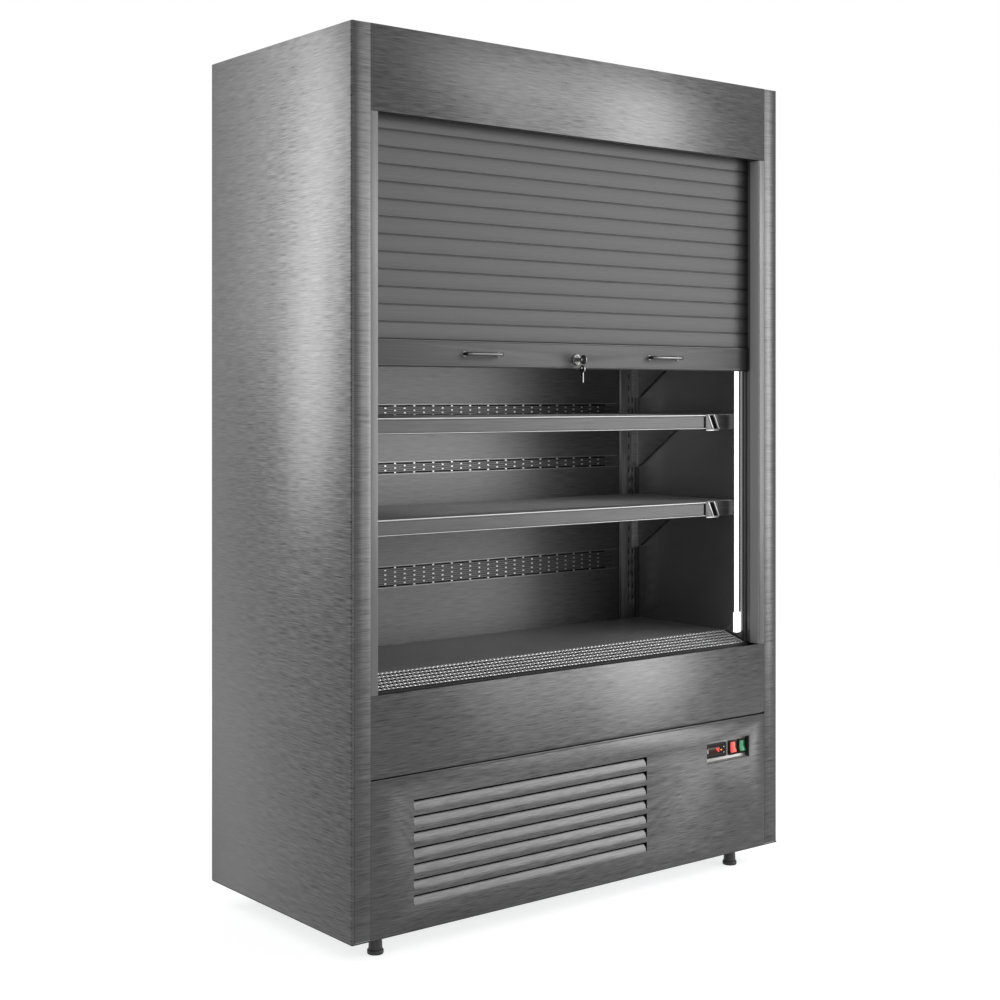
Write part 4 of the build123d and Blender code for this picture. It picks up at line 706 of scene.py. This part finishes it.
# ---------------- lining and shelves
def lining():
    dressed(wall_steel, "side_liners", edge=0.25)
    dressed(liner_steel, "ceiling_panel", edge=0.25)
    dressed(upright_steel, "shelf_uprights", edge=0.8, lines="upright")
    dressed(recess_steel, "control_recess", edge=0.25)
    # The uprights' folded edges are drawn in paler steel as a painted highlight; black strips
    # behind their slots are painted shade.
    edges, backs = bmesh.new(), bmesh.new()
    mirrored(edges, (516.8, 523.4), (150.0, 151.1), (572, HEADER))
    mirrored(backs, (574.6, 576.8), (150.7, 151.1), (572, HEADER))
    mirrored(backs, (548.5, 570.5), (151.6, 152.8), (600, 1790))
    finished(edges, "upright_folded_edges", highlight_bead_steel, edge=0.2, lines="upright")
    finished(backs, "upright_slot_backs", shade_black)
    dressed(deck_steel, "base_deck", edge=0.5)
    dressed(white_abs, "air_honeycomb")
    dressed(shelf_steel, "shelf_1", "shelf_2", "shelf_3", "shelf_4", edge=0.4)
    dressed(shelf_steel, "shelf_brackets", edge=0.3)
    dressed(opal_tube, "led_tubes")
    # The sockets carry the tubes' glowing opal: a painted glow on parts that give no light.
    dressed(opal_tube, "led_sockets", edge=1.0)


def slotted_air_panel():
    """Rear air panel with three bands of staggered slots between plain stretches."""
    half, pitch, row_pitch, count = 516.7, 58.0, 5.5, 17
    front, back = 153.0, 154.2
    tile = punched_tile(pitch, row_pitch, slot_outline(53, 3.4), front, back, 0.3)
    bands = [(733.0, 9), (1010.0, 5), (1151.0, 5)]
    steps = (pitch, 0, 0), (0, 0, row_pitch)
    sheet = bmesh.new()
    floor = 571.0
    for low, rows in bands:
        bottom = low - row_pitch / 2
        box(sheet, (-half, half), (front, back), (floor, bottom))
        floor = bottom + rows * row_pitch
        for row in range(rows):
            start = -half + (pitch / 2 if row % 2 else 0.0)
            end = start + count * pitch
            span = (bottom + row * row_pitch, bottom + (row + 1) * row_pitch)
            if start > -half:
                box(sheet, (-half, start), (front, back), span)
            box(sheet, (end, half), (front, back), span)
    box(sheet, (-half, half), (front, back), (floor, HEADER + 1))
    for low, rows in bands:
        start = (-half + pitch / 2, 0, low)
        join(sheet, repeated(tile.copy(), start, *steps, count, rows, 0.5))
    finished(sheet, "air_panel_sheet", liner_steel, weld=False, nodes=("rear_duct_panel",))
    # A baffle lies close behind each band, clear of its first and last rows.
    baffles = bmesh.new()
    for low, rows in bands:
        span = (low + 0.55 * row_pitch, low + (rows - 1.55) * row_pitch)
        box(baffles, (-half + 2, half - 2), (back + 0.1, back + 0.9), span)
    finished(baffles, "air_panel_baffles", baffle_shade_steel)
    # The bridge between two slots is pressed forward into a small nib, and a fold runs along each
    # side of a band; both stiffen it.
    # Both are drawn in paler steel, as painted highlights.
    nib = bmesh.new()
    prism(nib, [(153.1, -2.0), (152.0, -1.1), (152.0, 1.1), (153.1, 2.0)], "x", (-2.7, 2.7))
    nibs, folds = bmesh.new(), bmesh.new()
    for low, rows in bands:
        for middle in (low - row_pitch / 2 - 1.4, low + (rows - 0.5) * row_pitch + 1.4):
            fold = [(153.1, -1.3), (152.3, -0.4), (152.3, 0.4), (153.1, 1.3)]
            fold = [(y, middle + dz) for y, dz in fold]
            prism(folds, fold, "x", (-half + 6, half - 6))
        start = (-half + pitch, 0, low)
        join(nibs, repeated(tile_of(nib.copy()), start, *steps, count - 1, rows, 0.5))
    nib.free()
    finished(nibs, "air_panel_nibs", highlight_nib_steel, weld=False)
    finished(folds, "air_panel_folds", highlight_bead_steel, weld=False)


def perforated_grille():
    """Sloped return-air grille: staggered oblong holes between a rolled and a crimped edge."""
    pitch, row_pitch, rows, columns, sheet_mm = 11.6, 14.2, 6, 100, 1.2
    slope = Vector((0, 85, 26))
    rise = atan2(26, 85)
    margin = (slope.length - rows * row_pitch) / 2
    half = GUIDE_IN
    reach = columns * pitch / 2 + pitch / 4
    hole = [(4.3 * cos(turn), 5.7 * sin(turn)) for turn in around(10)]
    sheet = repeated(
        punched_tile(pitch, row_pitch, hole, 0.0, sheet_mm, 1.1),
        (-reach + pitch / 2, 0, margin + row_pitch / 2), (pitch, 0, 0), (0, 0, row_pitch),
        columns, rows, 0.5,
    )
    for row in range(rows):
        span = (margin + row * row_pitch, margin + (row + 1) * row_pitch)
        start = -reach + (pitch / 2 if row % 2 else 0.0)
        box(sheet, (-half, start), (0, sheet_mm), span)
        box(sheet, (start + columns * pitch, half), (0, sheet_mm), span)
    box(sheet, (-half, half), (0, sheet_mm), (0.8, margin))
    box(sheet, (-half, half), (0, sheet_mm), (slope.length - margin, slope.length))
    crimp = bmesh.new()
    box(crimp, (-2.6, 2.6), (-1.4, 0.0), (0.0, 2.4))
    start = (-reach + pitch, 0, slope.length - 2.6)
    join(sheet, repeated(tile_of(crimp), start, (pitch, 0, 0), columns=columns - 1))
    # The tiles are made upright with their faces to the front; they lie back onto the slope.
    lay_back = Matrix.Translation((0, -260, 563)) @ Matrix.Rotation(-(pi / 2 - rise), 4, "X")
    sheet.transform(lay_back)
    nose = [(-260, 556), (-260, 561.6), (-259.7, 562.6), (-258.9, 563.1)]
    nose += [(-258.4, 562.2), (-258.8, 561.2), (-258.8, 556)]
    prism(sheet, nose, "x", (-half, half))
    finished(sheet, "air_grille_sheet", grille_steel, weld=False, nodes=("air_grille",), crease=25)
    # A near-black mat lies under the holes: painted shade in them.
    mat = bmesh.new()
    box(mat, (-half + 2, half - 2), (1.6, 3.0), (2, slope.length - 2))
    mat.transform(lay_back)
    finished(mat, "air_grille_filter", shade_black)
    # The grille's front flange stands in a black channel, which stays below the lowered shutter.
    # Its black stands in for the shade under the grille's nose: painted shade.
    channel = bmesh.new()
    box(channel, (-half, half), (-260.0, -258.8), (528, 556))
    wrap = [(-260, 556), (-261.8, 556), (-261.8, 563.4), (-260.4, 564.8)]
    wrap += [(-250.8, 566.8), (-250.8, 566.0), (-260, 563.4)]
    prism(channel, wrap, "x", (-half, half))
    finished(channel, "grille_front_channel", black_rubber, edge=0.4)


def ticket_rail_channels():
    """Price rails clipped on the shelves' lips: a plain face, two rolled lips and an end clip."""
    rails, lips, clips, ribs, shadows = (bmesh.new() for _ in range(5))
    span = (-568.5, 467.7)
    for top in (930, 1151, 1342, 1534):
        foot = top - 38
        box(rails, span, (-221.4, -218.2), (foot + 1, top - 1))
        for hub, height in ((top - 3.2, 3.2), (foot + 2.2, 2.2)):
            lip = [(-222.0 - 3.9 * sin(a), hub + height * cos(a)) for a in half_turn(8)]
            prism(lips, lip + [(-219.5, hub - height), (-219.5, hub + height)], "x", span)
        # The clip is cut through by a slanted slot, whose edges are turned forward as ribs, drawn
        # in paler steel as painted highlights.
        slit = [(480, top - 2.5), (494, top - 2.5), (511, foot + 1), (497, foot + 1)]
        plate(clips, "y", (-225.4, -223.0), rectangle((468, 514), (foot - 4, top)), [slit[::-1]])
        box(clips, (468, 470), (-223.0, -218.2), (foot - 4, top))
        # Right of the clip the shelf's own lip goes on.
        box(rails, (514.6, 580.4), (-219.6, -218.2), (foot + 0.4, top - 1.2))
        for x, thick in ((474.6, 4.0), (495.6, 3.0)):
            rib = [(x, top - 1), (x + thick, top - 1), (x + 18 + thick, foot), (x + 18, foot)]
            plate(ribs, "y", (-227, -225.3), rib)
        box(ribs, (469, 513), (-226.4, -225.3), (foot - 3.6, foot - 1.2))
        box(shadows, (477.0, 513.4), (-222.9, -222.3), (foot - 0.8, top - 0.6))
    finished(rails, "ticket_rail_channels", rail_steel, nodes=("ticket_rails",), crease=40)
    finished(lips, "ticket_rail_lips", highlight_bead_steel, crease=40)
    finished(clips, "ticket_rail_clips", cast_clip, edge=0.4)
    finished(ribs, "ticket_rail_clip_ribs", highlight_nib_steel, edge=0.3)
    finished(shadows, "clip_shadow_liners", shade_black)


lining()
slotted_air_panel()
perforated_grille()
ticket_rail_channels()


# ---------------- shutter
def slat_outline():
    """One slat's section in (y, z): crowned front, round edges, a neck that hooks the next."""
    heights = (1.4, 5, 9, 13, 18, 23, 27, 31, 34.6)
    front = [(-256.9 - 1.9 * (1 - ((z - 18) / 17.2) ** 2), z) for z in heights]
    foot = [(-254.4, 0.0), (-256.2, 0.15), (-256.9, 0.7)]
    head = [(-256.8, 35.2), (-256.0, 35.8), (-254.4, 36.0)]
    neck = [(-254.4, 38.2), (-252.6, 38.2), (-252.6, 36.0)]
    back = [(-250.4, 35.8), (-249.6, 34.8), (-249.6, 1.2), (-250.4, 0.2), (-252.6, 0.0)]
    return foot + front + head + neck + back


def slats(half, low, count):
    """A bmesh of slats in rows from a height upwards."""
    slat = bmesh.new()
    prism(slat, slat_outline(), "x", (-half, half))
    return repeated(tile_of(slat), (0, 0, low), row_step=(0, 0, SLAT_PITCH), rows=count)


def curtain():
    drawn = finished(
        slats(593, 1320.5, 14), "shutter_curtain_slats", slat_metal, weld=False,
        nodes=("shutter_slats",), crease=50,
    )
    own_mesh(drawn)

    # The slats still on the barrel wait as a thin packed strip behind the fascia, and spread out as
    # the curtain is lowered: each point starts where the blend's smooth step brings it home.
    top, drop, pack = 1850.0, 693.0, 4.5
    spare = slats(592.8, top - drop - pack + 0.2, 18)
    for point in spare.verts:
        wanted = min(max(top - point.co.z, 0.0), drop + pack)
        low, high = 0.0, 1.0
        for _ in range(40):
            middle = (low + high) / 2
            if pack * middle + drop * middle * middle * (3 - 2 * middle) < wanted:
                low = middle
            else:
                high = middle
        point.co.z = top - pack * low
    waiting = finished(
        spare, "shutter_waiting_slats", slat_metal, weld=False, body="cabinet", crease=50
    )
    waiting.parent = None
    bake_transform(waiting)


def pull_handles():
    """D handles of round rod on turned feet."""
    foot = [(6.5, -264), (6.5, -265), (5.9, -265.5), (4.4, -265.5), (4.2, -266.4), (3, -266.6)]
    near, far = -265, -283
    handles = bmesh.new()
    for middle in (-282, 282):
        ends = (middle - 48, middle + 48)
        corners = [(ends[0], near), (ends[0], far), (ends[1], far), (ends[1], near)]
        rod(handles, [(x, y, HANDLE_Z) for x, y in corners], 7.0, 4.0, 20)
        for x in ends:
            turned(handles, foot, (x, 0, HANDLE_Z), "y", 24)
    finished(handles, "pull_handles", chrome, nodes=("bar_handles",), weld=False, crease=45)


def cam_lock():
    """Rosette with a stepped rim, plug with its keyway, cam, and the key in the plug."""
    centre = (0, 0, LOCK_Z)
    profile = [
        (9.0, -247.6), (9.0, -264.0), (13.5, -264.0), (13.5, -265.6), (12.7, -266.9),
        (10.6, -267.6), (8.8, -267.7), (8.5, -268.0), (6.6, -268.0), (6.05, -267.6),
        (6.05, -247.6),
    ]
    nut = [(12.0, -249.5), (12.0, -247.6), (9.05, -247.6), (9.05, -249.5)]
    body = bmesh.new()
    turned(body, profile, centre, "y", 40, hollow=True)
    turned(body, nut, centre, "y", 6, hollow=True)
    finished(body, "lock_rosette", chrome, nodes=("lock_body",), crease=30)
    face = [(6.0, -247.0), (6.0, -268.1), (5.6, -268.5), (1.4, -268.5), (1.2, -268.3)]
    plug = bmesh.new()
    turned(plug, face, centre, "y", 28)
    finished(plug, "lock_plug_face", chrome, nodes=("lock_plug",), crease=30)
    dressed(key_metal, "lock_cam", edge=0.3)

    # The bow is a flat disc with a hole for the ring, on a short shank.
    bow = [(-289 + y, z) for y, z in bow_outline(11, LOCK_Z, 22, 316)]
    shank = rectangle((-272, -268.4), (1277.8, 1286.2))
    key = bmesh.new()
    plate(key, "x", (-1.2, 1.2), bow + shank, [circle(3.0, 16, (RING_Y, LOCK_Z))])
    finished(key, "lock_key_bow", key_metal, nodes=("lock_key",), edge=0.35)


def hanging_key():
    """Split ring of two turns through the key's bow, with the spare key on it."""
    key = bmesh.new()
    ring_centre, ring_radius, wire_radius = Vector((0, RING_Y, 1272.1)), 8, 0.4
    loops = []
    for step in range(41):
        turn = 4 * pi * step / 40
        side = 0.42 * (1 if step > 20 else -1) * min(1.0, abs(step - 20) / 3)
        out = Vector((cos(turn), 0, sin(turn)))
        hub = ring_centre + ring_radius * out + Vector((0, side, 0))
        level = Vector((0, 1, 0))
        loops.append([hub + wire_radius * (cos(a) * out + sin(a) * level) for a in around(8)])
    loft(key, loops)
    bow = [(RING_Y + y, z) for y, z in bow_outline(9, 1260.2, -70, 320)]
    cuts = [
        (-288, 1250), (-288, 1229.5), (-286.8, 1227.9), (-284.6, 1227.9), (-283.4, 1230.2),
        (-283.2, 1232.5), (-284.0, 1234.0), (-282.9, 1236.0), (-283.9, 1238.2),
        (-282.7, 1240.4), (-283.6, 1242.4), (-282.0, 1245), (-282, 1250),
    ]
    plate(key, "x", (-1.2, 1.2), bow + cuts, [circle(2.5, 14, (RING_Y, 1262.7))])
    finished(key, "spare_key_and_ring", key_metal, nodes=("spare_key",), crease=35)


def shutter():
    """Guides with their seals, the bar with its beads and its seal, and the barrel."""
    dressed(guide_metal, "left_guide_rail", "right_guide_rail", edge=0.6, lines="upright")
    piles, back_lips = bmesh.new(), bmesh.new()
    mirrored(piles, (583.8, 585.2), (-298.6, -269.0), (SILL, HEADER))
    mirrored(back_lips, (584.4, 585.2), (-247.4, -240.6), (SILL, HEADER))
    finished(piles, "guide_brush_piles", brush_pile, edge=0.4, lines="upright")
    finished(back_lips, "guide_rear_gaskets", black_rubber, edge=0.2)
    dressed(slat_metal, "bottom_bar", edge=0.8)
    beads = bmesh.new()
    for low in (1263.0, 1316.4):
        bead = [(-264.9 + 0.9 * (1 - sin(a)), low + 1.5 - 1.5 * cos(a)) for a in half_turn(6)]
        prism(beads, bead + [(-263.6, low + 3), (-263.6, low)], "x", (-583, 583))
    finished(beads, "bottom_bar_beads", rail_steel, body=body_of["bottom_bar"], crease=40)
    dressed(black_rubber, "bar_seal", edge=0.4)
    dressed(galvanised, "barrel_housing", "barrel_brackets", "barrel_shaft", "barrel_tube")
    dressed(slat_metal, "coiled_slats")


shutter()
curtain()
pull_handles()
cam_lock()
hanging_key()


# ---------------- machine
def machine():
    dressed(fin_metal, "evaporator_coil", "condenser_coil")
    dressed(galvanised, "evaporator_fan_plate", "condensate_tray")
    dressed(black_nylon, "left_evaporator_fan", "right_evaporator_fan", "condenser_fan")
    dressed(black_enamel, "compressor", edge=0.5)
    dressed(black_enamel, "condenser_fan_motor")
    dressed(grey_abs, "electrical_box", edge=1.0)
    dressed(copper, "refrigerant_pipes")


machine()


# ---------------- controls and feet
def rounded(x, z, radius, steps=5):
    """The outline of a rectangle with round corners, from its spans."""
    hubs = [(x[1] - radius, z[1] - radius), (x[0] + radius, z[1] - radius)]
    hubs += [(x[0] + radius, z[0] + radius), (x[1] - radius, z[0] + radius)]
    return [
        (hub[0] + radius * cos(turn), hub[1] + radius * sin(turn))
        for quarter, hub in enumerate(hubs)
        for turn in [pi / 2 * (quarter + step / steps) for step in range(steps + 1)]
    ]


def lit_four(work, left, low, width, height, y):
    """Adds the four lit bars of a seven-segment 4, leaning a little to the right."""
    bar, lean = height * 0.15, 0.12
    inner, outer = height / 2 - bar / 2, height / 2 + bar / 2
    right, upper = (width - bar, width), (outer, height - bar)
    bars = [(right, upper), (right, (bar, inner)), ((0, bar), upper)]
    for spans in [*bars, ((bar, width - bar), (inner, outer))]:
        plate(work, "y", y, [(left + x + lean * z, low + z) for x, z in rectangle(*spans)])


def thermostat():
    """Panel thermostat: a round-cornered case, a smoked window with a lit digit, and marks."""
    case = bmesh.new()
    window = rounded((409, 453), (305.25, 322.25), 1.5)
    keys = [rounded((461.7, 470.3), (z - 4.3, z + 4.3), 1.0) for z in (DOWN_Z, UP_Z)]
    bezel = rounded((399, 476), (296.25, 331.25), 3.0)
    plate(case, "y", (-288.8, -284.8), bezel, [window, *keys])
    box(case, (402, 473), (-284.8, -225.3), (299.25, 328.25))
    finished(case, "thermostat_case", black_abs, nodes=("thermostat",), edge=0.6)
    glass = bmesh.new()
    plate(glass, "y", (-288.0, -286.5), rounded((409.1, 452.9), (305.35, 322.15), 1.4))
    finished(glass, "thermostat_window", smoked_acrylic, edge=0.2)
    digit = bmesh.new()
    lit_four(digit, 441.6, 306.8, 8.6, 14.0, (-288.12, -287.9))
    finished(digit, "thermostat_digit", lit_digit)
    dash = bmesh.new()
    box(dash, (455.6, 459.8), (-289.0, -288.7), (312.6, 314.6))
    finished(dash, "thermostat_dash", amber_digit)
    mark = bmesh.new()
    box(mark, (410.4, 412.2), (-288.16, -287.9), (308.4, 318.4))
    finished(mark, "thermostat_mark", white_ink)
    # Each button carries its own printed arrow.
    for way, z, tip in (("up", UP_Z, 1), ("down", DOWN_Z, -1)):
        node = f"thermostat_{way}_button"
        dressed(black_abs, node, edge=0.8)
        arrow = bmesh.new()
        outline = [(464.2, z - tip), (467.8, z - tip), (466, z + 1.6 * tip)]
        plate(arrow, "y", (-289.7, -289.5), outline)
        finished(arrow, f"{way}_button_arrow", white_ink, body=body_of[node])


def rockers():
    """Snap-in switches: a framed housing and two dished rockers, lit from inside."""
    dressed(black_abs, "rocker_housings", edge=1.0)
    dressed(red_lens, "power_rocker", edge=0.8)
    dressed(green_lens, "light_rocker", edge=0.8)


def levelling_feet():
    """Moulded pads under zinc-plated studs, with a nut on each side of the base sheet."""
    pad = [(14.6, 0), (17.2, 0.6), (18, 2.4), (18, 8), (17.3, 9.6), (15.2, 11)]
    pad += [(14.4, 28), (13.2, 32), (10.5, 34)]
    thread = [(5.9 if ridge % 2 else 5.3, 34 + 0.9 * ridge) for ridge in range(48)]
    pads, studs = bmesh.new(), bmesh.new()
    for x in (-546, 546):
        for y in (-233, 233):
            turned(pads, pad, (x, y, 0), "z", 32)
            turned(studs, thread, (x, y, 0), "z", 20)
            for low in (47, 57):
                nut = [(9.8, low), (10.97, low + 0.7), (10.97, low + 7.3), (9.8, low + 8.0)]
                turned(studs, nut, (x, y, 0), "z", 6)
    finished(pads, "feet_pads", black_nylon, nodes=("levelling_feet",), crease=35)
    finished(studs, "feet_studs", zinc_plate, weld=False, crease=30)


thermostat()
rockers()
levelling_feet()


# ---------------- floor, light and camera
def studio():
    """White paper floor in a white tent; both look plain white to the camera, metal and glass."""
    ground = bmesh.new()
    bmesh.ops.create_grid(ground, x_segments=1, y_segments=1, size=40)
    mesh = mesh_from(ground, "floor")
    floor = bpy.data.objects.new("floor", mesh)
    scene.collection.objects.link(floor)
    ambient = 0.6

    def seen(tree):
        """1 for rays from the camera, off metal and through glass, 0 for those that give light."""
        path = add(tree, "ShaderNodeLightPath").outputs
        direct = maths(tree, "MAXIMUM", path["Is Camera Ray"], path["Is Glossy Ray"])
        return maths(tree, "MAXIMUM", direct, path["Is Transmission Ray"])

    paper = bpy.data.materials.new("white studio paper")
    paper.use_nodes = True
    tree = paper.node_tree
    tree.nodes.clear()
    grey = linear("#bcbcbc")
    matt = add(tree, "ShaderNodeBsdfDiffuse", {"Color": grey})
    lift = maths(tree, "MULTIPLY", seen(tree), 1 - ambient * grey[0])
    glow = add(tree, "ShaderNodeEmission", {"Color": linear("#ffffff"), "Strength": lift})
    both = add(tree, "ShaderNodeAddShader", {0: matt, 1: glow})
    add(tree, "ShaderNodeOutputMaterial", {"Surface": both})
    mesh.materials.append(paper)
    world = bpy.data.worlds.new("studio")
    scene.world = world
    world.use_nodes = True
    tree = world.node_tree
    tent = tree.nodes["Background"]
    tent.inputs["Color"].default_value = linear("#ffffff")
    strength = ranged(tree, seen(tree), wanted=(ambient, 1.0))
    tree.links.new(outlet(strength), tent.inputs["Strength"])


def lamp(name, place, target, size, radiance):
    """A soft rectangular lamp, hidden from view; a radiance of 1 is the tent's white."""
    light = bpy.data.lights.new(name, "AREA")
    light.shape, light.size, light.size_y = "RECTANGLE", size[0], size[1]
    light.energy = radiance * pi * size[0] * size[1]
    holder = bpy.data.objects.new(name, light)
    holder.location = place
    holder.rotation_euler = (Vector(target) - Vector(place)).to_track_quat("-Z", "Y").to_euler()
    holder.visible_camera = False
    scene.collection.objects.link(holder)


studio()
lamp("front right softbox", (2.64, -2.45, 1.3), (0.32, -0.3, 1.3), (0.75, 2.6), 4.6)
lamp("front right fill", (2.25, -2.9, 1.5), (0.1, -0.3, 1.3), (2.6, 2.8), 2.4)
lamp("left softbox", (-2.17, 2.53, 2.0), (-0.65, -0.10, 1.6), (0.5, 2.4), 6.8)
lamp("left fill", (-1.95, 2.75, 2.5), (-0.65, 0.0, 1.7), (1.4, 2.2), 1.2)
lamp("high softbox", (2.2, -3.4, 3.1), (0.1, -0.3, 1.6), (3.0, 1.4), 3.2)
lamp("front left fill", (-2.2, -3.4, 1.1), (0.45, 0.0, 0.9), (1.5, 1.5), 3.5)
# What the lamp tubes throw back on to the air panel.
lamp("tube light", (0.0, -0.2, 1.13), (0.0, 0.15, 1.13), (0.7, 0.26), 4.2)

# The photograph's lens and viewpoint, found from its vanishing points.
camera = bpy.data.objects.new("camera", bpy.data.cameras.new("camera"))
camera.data.sensor_width, camera.data.lens, camera.data.shift_y = 36.0, 59.53, -0.1034
camera.location = (-2.546, -3.182, 1.196)
camera.rotation_euler = Vector((0.6219, 0.7831, 0.0)).to_track_quat("-Z", "Y").to_euler()
scene.collection.objects.link(camera)
scene.camera = camera
scene.view_settings.view_transform = "Standard"
